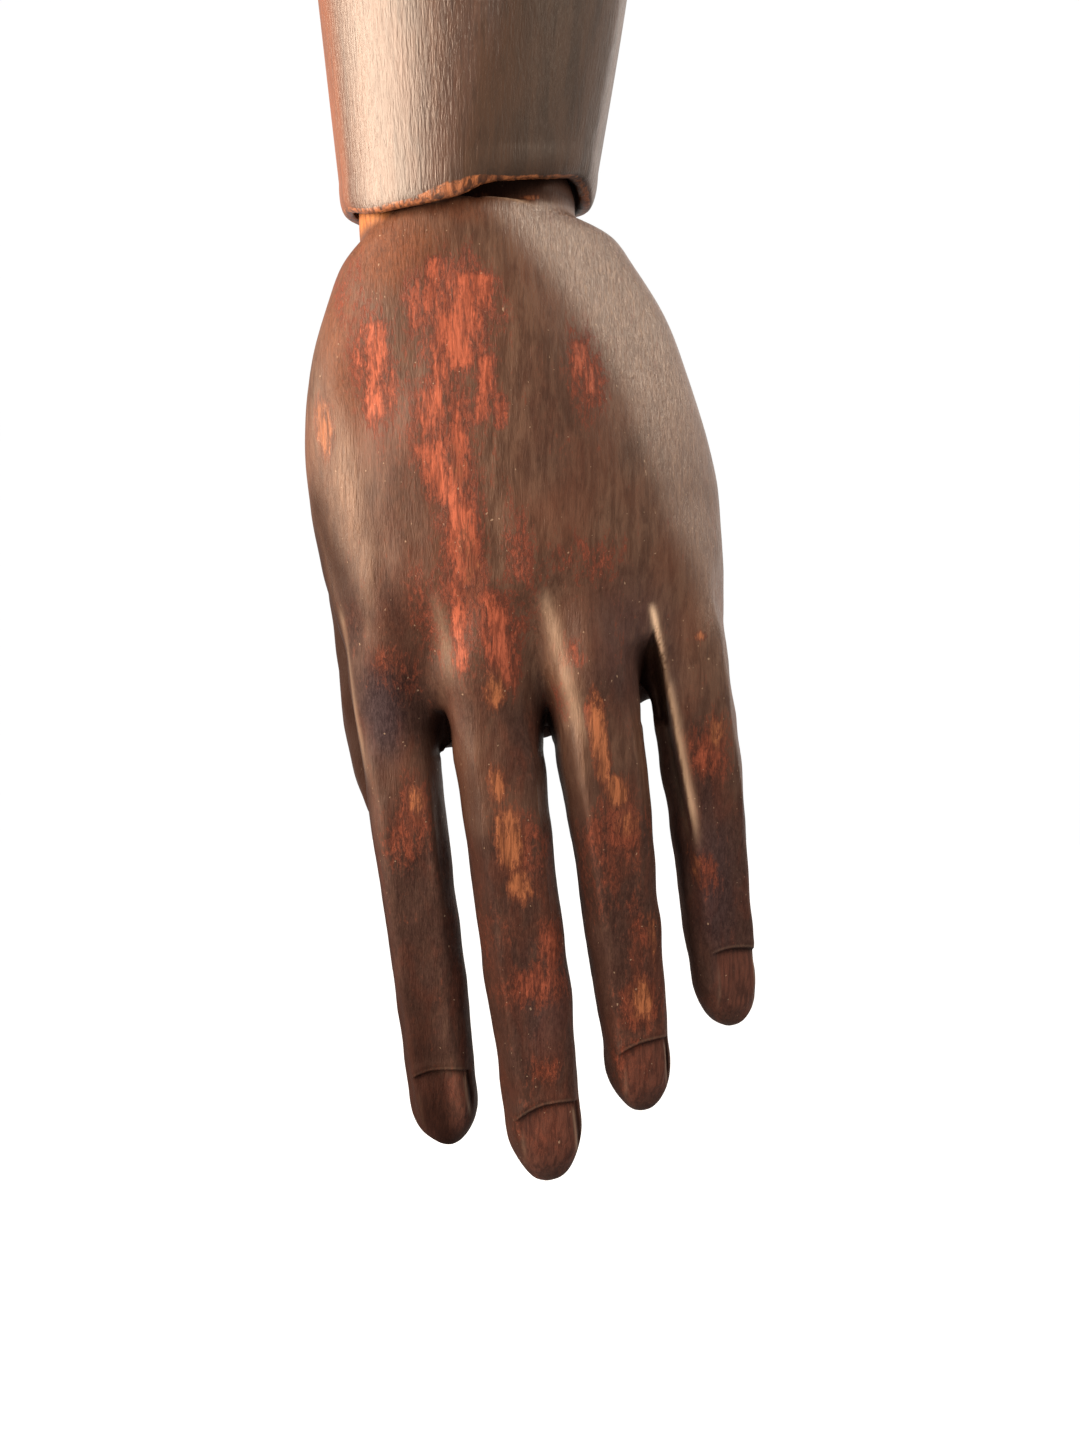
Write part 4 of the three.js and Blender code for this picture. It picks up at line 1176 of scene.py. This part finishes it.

# %% Put the worn places, painted highlights, sheen, reflection and shade on the points
hand = to_hand(points)
facing = normals_of(hand_mesh)
from_back = ease(-points[:, 1], -4, 4)
near_back = ease(-points[:, 1], -8, 2)
plane_gap, plane_share = line_gap(points, PLANE_EDGE, -12)
plane = ease(plane_gap, -3, 4.5) * ease(1 - plane_share, 0, 0.22) * near_back * ease(hand[:, 2], 0.5, 3)
index_edge_highlight = lines(points, INDEX_EDGE_HIGHLIGHT) * bell(points[:, 1], EDGE_DEPTH, EDGE_SPREAD)
back_highlights = lines(points, HIGHLIGHT_LINES) * ease(-points[:, 1], -6, 1) * ease(-facing[:, 1], 0.3, 0.65)
highlight_lines = np.max([back_highlights, index_edge_highlight, nail_highlights], 0)
mark(hand_mesh, "pale_highlight", highlight_lines)
mark(hand_mesh, "worn", np.maximum(places(points, RED_WEAR), lines(points, RED_LINES)) * from_back)
mark(hand_mesh, "worn_deep", places(points, TAN_WEAR) * from_back)
# the polished plane takes the lighter rubbed colour too, as painted sheen
mark(hand_mesh, "rubbed_and_highlight", np.maximum(places(points, RUBBED_AND_HIGHLIGHTS) * near_back, 0.9 * plane))
# the plane's gloss, and the light hatching painted on it as sheen
mark(hand_mesh, "polished_sheen", plane * (1 - 0.4 * plane_share))
mark(hand_mesh, "warm", places(points, WARM) * from_back)
mark(hand_mesh, "cool_reflection", places(points, COOL_REFLECTION) * from_back)
# dusky stain and painted shade, and darker down the fingers from 110 mm below the wrist
mark(hand_mesh, "dusk_and_shade", np.maximum(places(points, DUSK_AND_SHADE), 0.8 * ease(hand[:, 2], 110, 120)))
print("marks on the hand:", [layer.name for layer in hand_mesh.attributes if layer.data_type == "FLOAT"])

# %% [markdown]
# Shade is painted in as dark colour where little light reaches: in the webs, on the walls between the
# fingers, under the edge above the thumb, round the nails and on the barrel deep in its cup. Bare wood
# shows where the wrist's barrel rubs in its cup.

# %% Mark the painted shade and the bare barrel
# middle and half sizes of the painted shade in each web in the frame, and its strength
WEB_SHADE = [(441, 728, 18, 36, 0.78), (551, 718, 14, 38, 0.85), (651, 680, 10, 46, 1.0)]
middle_left_shade = ease(-facing[:, 0], 0.1, 0.6) * (hand[:, 0] < 3)
side_wall_shade = np.maximum(ease(-facing[:, 0], 0.3, 0.85), middle_left_shade)
side_wall_shade = side_wall_shade * ease(hand[:, 2], 92, 108) * (hand[:, 0] > -20) * 0.7
thumb_side_shade = ease(-hand[:, 0], 22, 26) * ease(points[:, 1], -8, -1) * ease(hand[:, 2], 34, 62) * 0.92
web_shade = places(points, WEB_SHADE) * ease(points[:, 1], -13, -6)
from_axis = np.hypot(points[:, 1], points[:, 2] - WRIST_Z)
on_barrel = ease(BARREL_R + 0.7 - from_axis, -0.3, 0.3) * ease(-hand[:, 2], -2, 1)
on_barrel = np.maximum(on_barrel, ease(-hand[:, 2], -0.6, 0.6))
rubbed_end = ease(-points[:, 0], 11, 16)
under_gap, under_share = line_gap(points, UNDER_EDGE, -8)
under_edge_shade = 0.85 * band(-under_gap, -1.8, 4.2, 3, 10) * ease(-points[:, 1], -7, 4)
under_edge_shade = under_edge_shade * faded(under_share, 0.3, 0.4)
barrel_shade = 0.8 * on_barrel * (1 - rubbed_end)
painted_shade = np.max([web_shade, nail_shade, side_wall_shade, thumb_side_shade, under_edge_shade, barrel_shade], 0)
mark(hand_mesh, "painted_shade", painted_shade * (1 - 0.9 * highlight_lines))
mark(hand_mesh, "bare", on_barrel * rubbed_end)
mark(hand_mesh, "nail", on_nail)
carved_hand = piece("hand_carved", hand_mesh, "hand", "stained_wood", "hand")

# %% [markdown]
# ## Tongues, pegs and washers
# The wrist and the elbow each turn on a wooden tongue with a turned shaft. Cross pegs hold them, and
# leather washers give the joints their grip. They are small, but they show in the gaps and at the elbow,
# so each is turned with softened edges instead of being left as a sharp cylinder. A tongue is a plate
# and a shaft, fused in the same even cells as the hand, so its corners come out rounded by themselves.

# %% The two tongues
GROOVE_DOWN, GROOVE_HALF, GROOVE_DEEP = 20, 3.5, 3


def softened(profile, soft=0.7):
    """A turned profile with each corner cut back a little."""
    profile = np.asarray(profile, float)
    rows = [profile[0]]
    for before, corner, after in zip(profile[:-2], profile[1:-1], profile[2:]):
        for other in (before, after):
            gap = other - corner
            rows.append(corner + gap * min(0.45, soft / max(1e-6, np.hypot(*gap))))
    return np.array([*rows, profile[-1]])


def tongue(radius, thick, axis, collar, shaft, middle, bore):
    """A plate with a round end, its collar and its grooved shaft, fused into one."""
    (collar_r, collar_z), (shaft_r, shaft_z, top) = collar, shaft
    low, high = top - GROOVE_DOWN - GROOVE_HALF, top - GROOVE_DOWN + GROOVE_HALF
    post = turned(softened([
        (0.05, collar_z), (collar_r, collar_z), (collar_r, shaft_z), (shaft_r, shaft_z),
        (shaft_r, low), (shaft_r - GROOVE_DEEP, low), (shaft_r - GROOVE_DEEP, high), (shaft_r, high),
        (shaft_r, top), (0.05, top)]))
    outline = np.vstack([[(radius, shaft_z - 1), (-radius, shaft_z - 1)], arc(radius, 180, 360)])
    mesh = body_of([along(post, "z", middle), plate(outline, thick, axis, middle)])
    mesh = cut_out(fused(mesh, CELL), [hole(bore, axis, middle)])
    mesh = fused(mesh, CELL)
    put_points(mesh, sanded(mesh, points_of(mesh), 4))
    return mesh


elbow_mesh = tongue(12, 18, "y", (17, 37), (12, 45, 90), at_elbow, ELBOW_BORE)
wrist_mesh = tongue(8, 16, "x", (14, 16.2), (9, 20.2, 82.2), at_wrist, WRIST_BORE)
elbow_tongue = piece("elbow_tongue_turned", elbow_mesh, "elbow_tongue", "bare_wood", "elbow_tongue")
wrist_tongue = piece("wrist_tongue_turned", wrist_mesh, "wrist_tongue", "bare_wood", "wrist_tongue")


# %% Pegs
PEG_DOME, PEG_PROUD = 0.35, 0.15


def peg(radius, half_length, axis, middle):
    """A whittled peg with slightly domed ends."""
    dome = np.linspace(0.02, 1, 8)
    low = [(radius * share, -half_length + PEG_DOME * share ** 4) for share in dome]
    high = [(radius * share, half_length - PEG_DOME * share ** 4) for share in dome[::-1]]
    points, faces = along(turned([*low, *high], 40), axis, middle)
    if axis == "y":  # through the forearm, so its ends are pared flush with the limb
        height = points[:, 2] - WRIST_Z
        room = forearm_half(height) ** 2 - (points[:, 0] - forearm_shift(height)) ** 2
        flush = FLATTEN * np.sqrt(np.maximum(1, room)) + PEG_PROUD
        points[:, 1] = np.clip(points[:, 1], -flush, flush)
    return body_of([(points, faces)])


swivel_half = float(FLATTEN * math.sqrt(forearm_half(SWIVEL_Z - WRIST_Z) ** 2 - SWIVEL_X ** 2))
elbow_half = BALL_R * FLATTEN - 0.1
# piece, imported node, body, then the peg's radius, half length, axis and middle
PEGS = [
    ("elbow_peg_whittled", "elbow_peg", "forearm", 4.5, elbow_half, "y", at_elbow),
    ("swivel_peg_left_whittled", "swivel_peg_left", "forearm", 3, swivel_half, "y", swivel_left),
    ("swivel_peg_right_whittled", "swivel_peg_right", "forearm", 3, swivel_half, "y", swivel_right),
    ("wrist_peg_whittled", "wrist_peg", "hand", 3.2, 20.9, "x", at_wrist),
]
pegs = [piece(name, peg(*sizes), body, "bare_wood", node) for name, node, body, *sizes in PEGS]

# %% Washers
WASHER_SIDES, LEATHER_WAVE = 64, 0.12


def washer(outer, inner, low, high, axis, middle):
    """A leather ring with rounded edges, cut a little out of round."""
    soft = (high - low) / 3
    angle = np.linspace(0, 2 * math.pi, WASHER_SIDES, endpoint=False)
    rings = []
    for r, z in (
            (inner, low), (outer - soft, low), (outer, low + soft),
            (outer, high - soft), (outer - soft, high), (inner, high)):
        wide = r + LEATHER_WAVE * np.sin(3 * angle)
        rings.append(np.stack([wide * np.cos(angle), r * np.sin(angle), np.full(WASHER_SIDES, z)], 1))
    faces = bands(len(rings), WASHER_SIDES, closed=True)
    return body_of([along((np.vstack(rings), faces), axis, middle)])


# piece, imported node, then the washer's outer and inner radius, its two faces, axis and middle
WASHERS = [
    ("elbow_washer_outer_leather", "elbow_washer_outer", 11.5, ELBOW_BORE, 9.3, 10.3, "y", at_elbow),
    ("elbow_washer_inner_leather", "elbow_washer_inner", 11.5, ELBOW_BORE, -10.3, -9.3, "y", at_elbow),
    ("wrist_washer_leather", "wrist_washer", 14, SHAFT_ROOM, 20.5, 22.5, "z", at_wrist),
]
washers = [piece(name, washer(*sizes), "forearm", "leather", node) for name, node, *sizes in WASHERS]

# %% [markdown]
# ## The finishes
# All the wood shares one idea. Long thin noise, stretched down the grain, gives fibres; a wider one
# gives streaks; and a round one gives blotches. The hand's finish is a dark stain over red-orange wood,
# and the marked places decide where the stain has gone and where highlights, sheen, a cool reflection and
# shade are painted, with the noises making the edges ragged. Noise in the piece's own space has no seams
# and follows the grain all round, which a wrapped picture can't.

# %% A small bench for building finishes
class Finish:
    """A material and short ways to add the nodes that these finishes use."""

    def __init__(self, name):
        self.material = bpy.data.materials.new(name)
        self.material.use_nodes = True
        self.tree = self.material.node_tree
        self.shader = self.tree.nodes["Principled BSDF"]
        self.place = self.tree.nodes.new("ShaderNodeTexCoord").outputs["Object"]

    def node(self, kind, values=None, **settings):
        made = self.tree.nodes.new(kind)
        for key, value in settings.items():
            setattr(made, key, value)
        for key, value in (values or {}).items():
            self.put(made.inputs[key], value)
        return made

    def put(self, socket, value):
        if isinstance(value, bpy.types.NodeSocket):
            self.tree.links.new(value, socket)
        else:
            socket.default_value = value

    def grain(self, size, stretch, lean=0.0, detail=4.0, rough=0.55, shift=0.0, bend=0.0):
        """Noise with cells of that many mm, drawn out down the grain, wandering a little sideways."""
        moved = self.node("ShaderNodeMapping", {
            "Vector": self.place, "Rotation": (0, lean, 0), "Location": (shift, shift, shift),
            "Scale": (1 / (size * MM), 1 / (size * MM), 1 / (size * stretch * MM))})
        made = self.node("ShaderNodeTexNoise", {
            "Vector": moved.outputs["Vector"], "Scale": 1.0, "Detail": detail, "Roughness": rough,
            "Distortion": bend})
        return made.outputs["Fac"]

    def marked(self, name):
        """A number that was stored on the points."""
        return self.node("ShaderNodeAttribute", attribute_name=name).outputs["Fac"]

    def sum(self, first, second, operation="ADD"):
        return self.node("ShaderNodeMath", {0: first, 1: second}, operation=operation).outputs[0]

    def times(self, first, second):
        return self.sum(first, second, "MULTIPLY")

    def between(self, value, low, high, start=0.0, end=1.0):
        """From start to end, smoothly, as the value goes from low to high."""
        made = self.node("ShaderNodeMapRange", {
            "Value": value, "From Min": low, "From Max": high, "To Min": start, "To Max": end},
            interpolation_type="SMOOTHSTEP")
        return made.outputs["Result"]

    def mix(self, share, first, second):
        made = self.node("ShaderNodeMix", data_type="RGBA")
        self.put(made.inputs[0], share)
        self.put(made.inputs[6], first)
        self.put(made.inputs[7], second)
        return made.outputs[2]

    def blend(self, value, low, high, first, second):
        """One colour where the value is low and another where it is high."""
        return self.mix(self.between(value, low, high), first, second)

    def gloss(self, plain_gloss, value):
        """Shine that varies over the piece, with a plain number for tools that can't read it."""
        socket = self.shader.inputs["Specular IOR Level"]
        socket.default_value = plain_gloss
        self.put(socket, value)

    def done(self, colour, roughness, height, depth):
        """Joins colour, roughness and a bump of that many mm to the shader."""
        bump = self.node("ShaderNodeBump", {"Height": height, "Distance": depth * MM, "Strength": 1.0})
        self.put(self.shader.inputs["Base Color"], colour)
        self.put(self.shader.inputs["Roughness"], roughness)
        self.put(self.shader.inputs["Normal"], bump.outputs["Normal"])
        return self.material


# %% Colours as they are seen
def tone(red, green, blue):
    """A colour as it is seen, 0 to 255, as Blender keeps it."""
    seen_share = np.array([red, green, blue]) / 255
    linear = np.where(seen_share <= 0.04045, seen_share / 12.92, ((seen_share + 0.055) / 1.055) ** 2.4)
    return (*[float(value) for value in linear], 1.0)


print("a middle grey of 128 is kept as %.3f" % tone(128, 128, 128)[0])

# %% The hand's worn stain: its grains
stain = Finish("worn_dark_stain")
# cell size in mm, stretch down the grain, lean, detail, roughness, shift and bend
fibre = stain.grain(0.36, 8, LEAN, 3, 0.6, 0.0, 0.4)
line = stain.grain(0.75, 9, LEAN, 4, 0.62, 0.2, 0.5)
streak = stain.grain(1.5, 5, LEAN, 5, 0.65, 0.3, 0.5)
blotch = stain.grain(3.2, 2.4, LEAN, 5, 0.7, 0.7, 0.5)
cloud = stain.grain(16, 1.6, LEAN, 3, 0.5, 0.9)
patch = stain.grain(5.5, 2.6, LEAN, 4, 0.6, 0.8, 0.5)
scrape = stain.grain(0.6, 8, LEAN - 0.6, 3, 0.6, 0.5, 0.4)
cross = stain.grain(0.42, 3.5, LEAN + 1.0, 3, 0.6, 0.6, 0.8)
mottle = stain.grain(0.6, 2.2, LEAN, 6, 0.75, 0.4, 0.6)
dust = stain.grain(0.55, 1.2, LEAN, 0, 0.5, 0.1)
print("grains take", len(stain.tree.nodes), "nodes")

# %% The hand's ground colour
brown = stain.blend(streak, 0.35, 0.66, tone(74, 51, 40), tone(100, 75, 61))
brown = stain.mix(stain.times(stain.between(cloud, 0.45, 0.7), 0.5), brown, tone(102, 64, 48))
brown = stain.mix(stain.times(stain.between(line, 0.52, 0.72), 0.4), brown, tone(44, 29, 22))
warm_brown = stain.blend(mottle, 0.35, 0.65, tone(84, 44, 25), tone(120, 68, 42))
brown = stain.mix(stain.times(stain.marked("warm"), 0.85), brown, warm_brown)
# dusky stain, partly painted shade
dusk_and_shade = stain.times(stain.marked("dusk_and_shade"), stain.between(blotch, 0.2, 0.55, 0.75, 1.0))
dusky = stain.blend(mottle, 0.35, 0.66, tone(40, 25, 24), tone(66, 46, 42))
dusky_red = stain.blend(mottle, 0.35, 0.66, tone(58, 31, 26), tone(84, 48, 39))
dusky = stain.mix(stain.times(stain.between(patch, 0.45, 0.62), 0.8), dusky, dusky_red)
brown = stain.mix(dusk_and_shade, brown, dusky)
# painted cool reflection
cool_reflection_brown = stain.blend(mottle, 0.35, 0.66, tone(50, 40, 44), tone(70, 58, 62))
brown = stain.mix(stain.times(stain.marked("cool_reflection"), 0.75), brown, cool_reflection_brown)
# lighter tan where rubbed: partly real rubbing, partly painted highlight and sheen
rubbed_and_highlight = stain.times(stain.marked("rubbed_and_highlight"), stain.between(streak, 0.25, 0.6, 0.7, 1.0))
brown = stain.mix(rubbed_and_highlight, brown, stain.blend(scrape, 0.4, 0.65, tone(94, 67, 51), tone(116, 87, 69)))
# painted sheen: light hatching over the polished plane
sheen_hatch = stain.times(stain.between(cross, 0.56, 0.66), stain.times(stain.marked("polished_sheen"), 0.5))
brown = stain.mix(sheen_hatch, brown, tone(146, 118, 96))
pale_highlight = stain.times(stain.marked("pale_highlight"), stain.between(streak, 0.25, 0.6, 0.6, 1.0))
print("the hand's ground colour takes", len(stain.tree.nodes), "nodes")

# %% Where the stain has gone, what lies under it, and the painted highlights and shade
ragged = stain.sum(stain.times(streak, 1.1), stain.times(blotch, 1.3))
ragged = stain.sum(ragged, stain.sum(stain.times(mottle, 1.4), stain.times(fibre, 0.6)))
fibres = stain.between(line, 0.4, 0.64)
red_field = stain.sum(stain.marked("worn"), ragged)
thin_stain = stain.blend(mottle, 0.4, 0.62, tone(80, 43, 33), tone(106, 57, 43))
half_red = stain.mix(fibres, tone(134, 69, 50), tone(92, 47, 35))
red_wood = stain.mix(fibres, tone(176, 94, 68), tone(124, 64, 46))
colour = brown
for ground, low, high in ((thin_stain, 2.4, 2.75), (half_red, 2.62, 2.98), (red_wood, 2.86, 3.3)):
    ground = stain.mix(stain.times(dusk_and_shade, 0.35), ground, brown)
    colour = stain.mix(stain.between(red_field, low, high, 0, 0.9), colour, ground)
tan_field = stain.sum(stain.marked("worn_deep"), ragged)
orange_wood = stain.mix(fibres, tone(110, 65, 47), tone(76, 44, 34))
tan_wood = stain.mix(fibres, tone(156, 98, 66), tone(98, 59, 41))
colour = stain.mix(stain.between(tan_field, 2.52, 2.85, 0, 0.8), colour, orange_wood)
colour = stain.mix(stain.between(tan_field, 2.84, 3.14, 0, 0.9), colour, tan_wood)
bare_wood = stain.blend(streak, 0.35, 0.65, tone(130, 76, 42), tone(184, 118, 66))
colour = stain.mix(stain.marked("bare"), colour, bare_wood)
nail_wood = stain.blend(line, 0.38, 0.62, tone(104, 64, 53), tone(70, 43, 37))
colour = stain.mix(stain.times(stain.marked("nail"), 0.6), colour, nail_wood)
# painted highlights along the ridges, the hand's top edge, the index edge and the nails
colour = stain.mix(pale_highlight, colour, tone(224, 194, 166))
colour = stain.mix(stain.between(dust, 0.835, 0.86, 0, 0.5), colour, tone(176, 150, 126))
# painted shade: dark colour in the webs, on the finger walls, under the thumb's edge, round the nails and on
# the barrel
shaded = stain.times(stain.marked("painted_shade"), stain.between(streak, 0.2, 0.6, 0.75, 0.95))
colour = stain.mix(shaded, colour, tone(36, 22, 19))
print("the worn places take it to", len(stain.tree.nodes), "nodes")

# %% The hand's roughness, relief and gloss
BUMP = 0.22
worn = stain.between(red_field, 2.55, 3.05)
rough = stain.sum(stain.between(fibre, 0.3, 0.7, 0.34, 0.46), stain.times(stain.sum(dusk_and_shade, worn), 0.12))
relief = stain.sum(stain.sum(stain.times(fibre, 0.5), stain.times(line, 0.35)), stain.times(cross, 0.35))
relief = stain.sum(relief, stain.times(stain.times(stain.marked("rubbed_and_highlight"), scrape), 1.3))
relief = stain.sum(relief, stain.times(worn, -0.25))
gloss = stain.sum(stain.between(dusk_and_shade, 0, 1, 0.17, 0.06), stain.times(rubbed_and_highlight, 0.13))
gloss = stain.times(gloss, stain.between(stain.marked("warm"), 0, 1, 1.0, 0.6))
gloss = stain.sum(gloss, stain.times(stain.marked("polished_sheen"), 0.8))
gloss = stain.times(gloss, stain.between(shaded, 0, 1, 1.0, 0.15))
stain.gloss(0.25, gloss)
carved_hand.data.materials.append(stain.done(colour, rough, relief, BUMP))
print("hand's finish:", stain.material.name)

# %% The forearm's rubbed stain
limb = Finish("rubbed_brown_stain")
fibre = limb.grain(0.42, 11, 0.04, 3, 0.6, 0.0, 0.3)
line = limb.grain(0.8, 20, 0, 4, 0.6, 0.3, 0.2)
streak = limb.grain(2.8, 16, 0, 5, 0.6, 0.2)
blotch = limb.grain(16, 2.2, 0, 4, 0.55, 0.5)
brown = limb.blend(streak, 0.35, 0.65, tone(64, 42, 30), tone(84, 56, 40))
brown = limb.mix(limb.times(limb.between(blotch, 0.4, 0.7), 0.5), brown, tone(88, 54, 35))
brown = limb.mix(limb.times(limb.between(line, 0.5, 0.7), 0.45), brown, tone(44, 28, 20))
# duller, darker stain on the right side: partly painted shade
dull_shade_edge = limb.sum(limb.sum(streak, -0.5), limb.times(limb.sum(line, -0.5), 0.7))
dull_and_shade = limb.between(limb.sum(limb.marked("dull_and_shade"), dull_shade_edge), 0.1, 0.9)
dull_shade_brown = limb.blend(streak, 0.35, 0.65, tone(52, 40, 31), tone(64, 49, 38))
brown = limb.mix(limb.times(dull_and_shade, 0.7), brown, dull_shade_brown)
warm = limb.times(limb.marked("warm"), limb.between(streak, 0.3, 0.6, 0.4, 0.8))
brown = limb.mix(warm, brown, tone(134, 74, 40))
bare_field = limb.sum(limb.marked("bare"), limb.times(limb.sum(streak, -0.5), 0.8))
bare_wood = limb.blend(line, 0.35, 0.65, tone(172, 106, 64), tone(104, 60, 36))
chip = limb.grain(1.5, 1.4, 0.5, 4, 0.65, 0.6, 0.6)
bare_wood = limb.mix(limb.between(chip, 0.5, 0.6, 0, 0.85), bare_wood, tone(58, 35, 23))
colour = limb.mix(limb.between(bare_field, 0.35, 0.6), brown, bare_wood)
# painted shade deep inside the cup
colour = limb.mix(limb.times(limb.marked("cup_shade"), 0.9), colour, tone(38, 25, 18))
rough = limb.sum(limb.between(fibre, 0.3, 0.7, 0.28, 0.4), limb.times(dull_and_shade, 0.14))
relief = limb.sum(limb.times(fibre, 0.65), limb.times(line, 0.35))
limb.gloss(0.5, limb.between(dull_and_shade, 0, 1, 0.8, 0.3))
forearm.data.materials.append(limb.done(colour, rough, relief, BUMP))
print("forearm's finish:", limb.material.name, "of", len(limb.tree.nodes), "nodes")

# %% Bare wood and leather for the joints
raw = Finish("bare_joint_wood")
fibre = raw.grain(0.5, 26, 0, 5)
streak = raw.grain(2.4, 16, 0, 4)
colour = raw.blend(streak, 0.3, 0.7, tone(132, 78, 42), tone(196, 128, 78))
colour = raw.mix(raw.between(fibre, 0.55, 0.75, 0, 0.5), colour, tone(92, 50, 28))
bare_finish = raw.done(colour, raw.between(fibre, 0.3, 0.7, 0.5, 0.7), fibre, 0.12)
for made in (elbow_tongue, wrist_tongue, *pegs):
    made.data.materials.append(bare_finish)

hide = Finish("worn_leather")
pores = hide.grain(0.5, 1, 0, 4)
patches = hide.grain(4, 1, 0, 4)
colour = hide.blend(patches, 0.3, 0.7, tone(52, 32, 20), tone(92, 58, 36))
leather_finish = hide.done(colour, hide.between(pores, 0.3, 0.7, 0.6, 0.85), pores, 0.1)
for made in washers:
    made.data.materials.append(leather_finish)
print("finishes:", [made.name for made in bpy.data.materials])

# %% [markdown]
# ## The size
# The dressed arm may not grow past the imported one, so both boxes are written side by side.

# %% Write both boxes and finish
new_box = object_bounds()
for title, box in (("packed box", cad_box), ("dressed box", new_box)):
    print(title, [tuple(round(value / MM, 1) for value in corner) for corner in box])
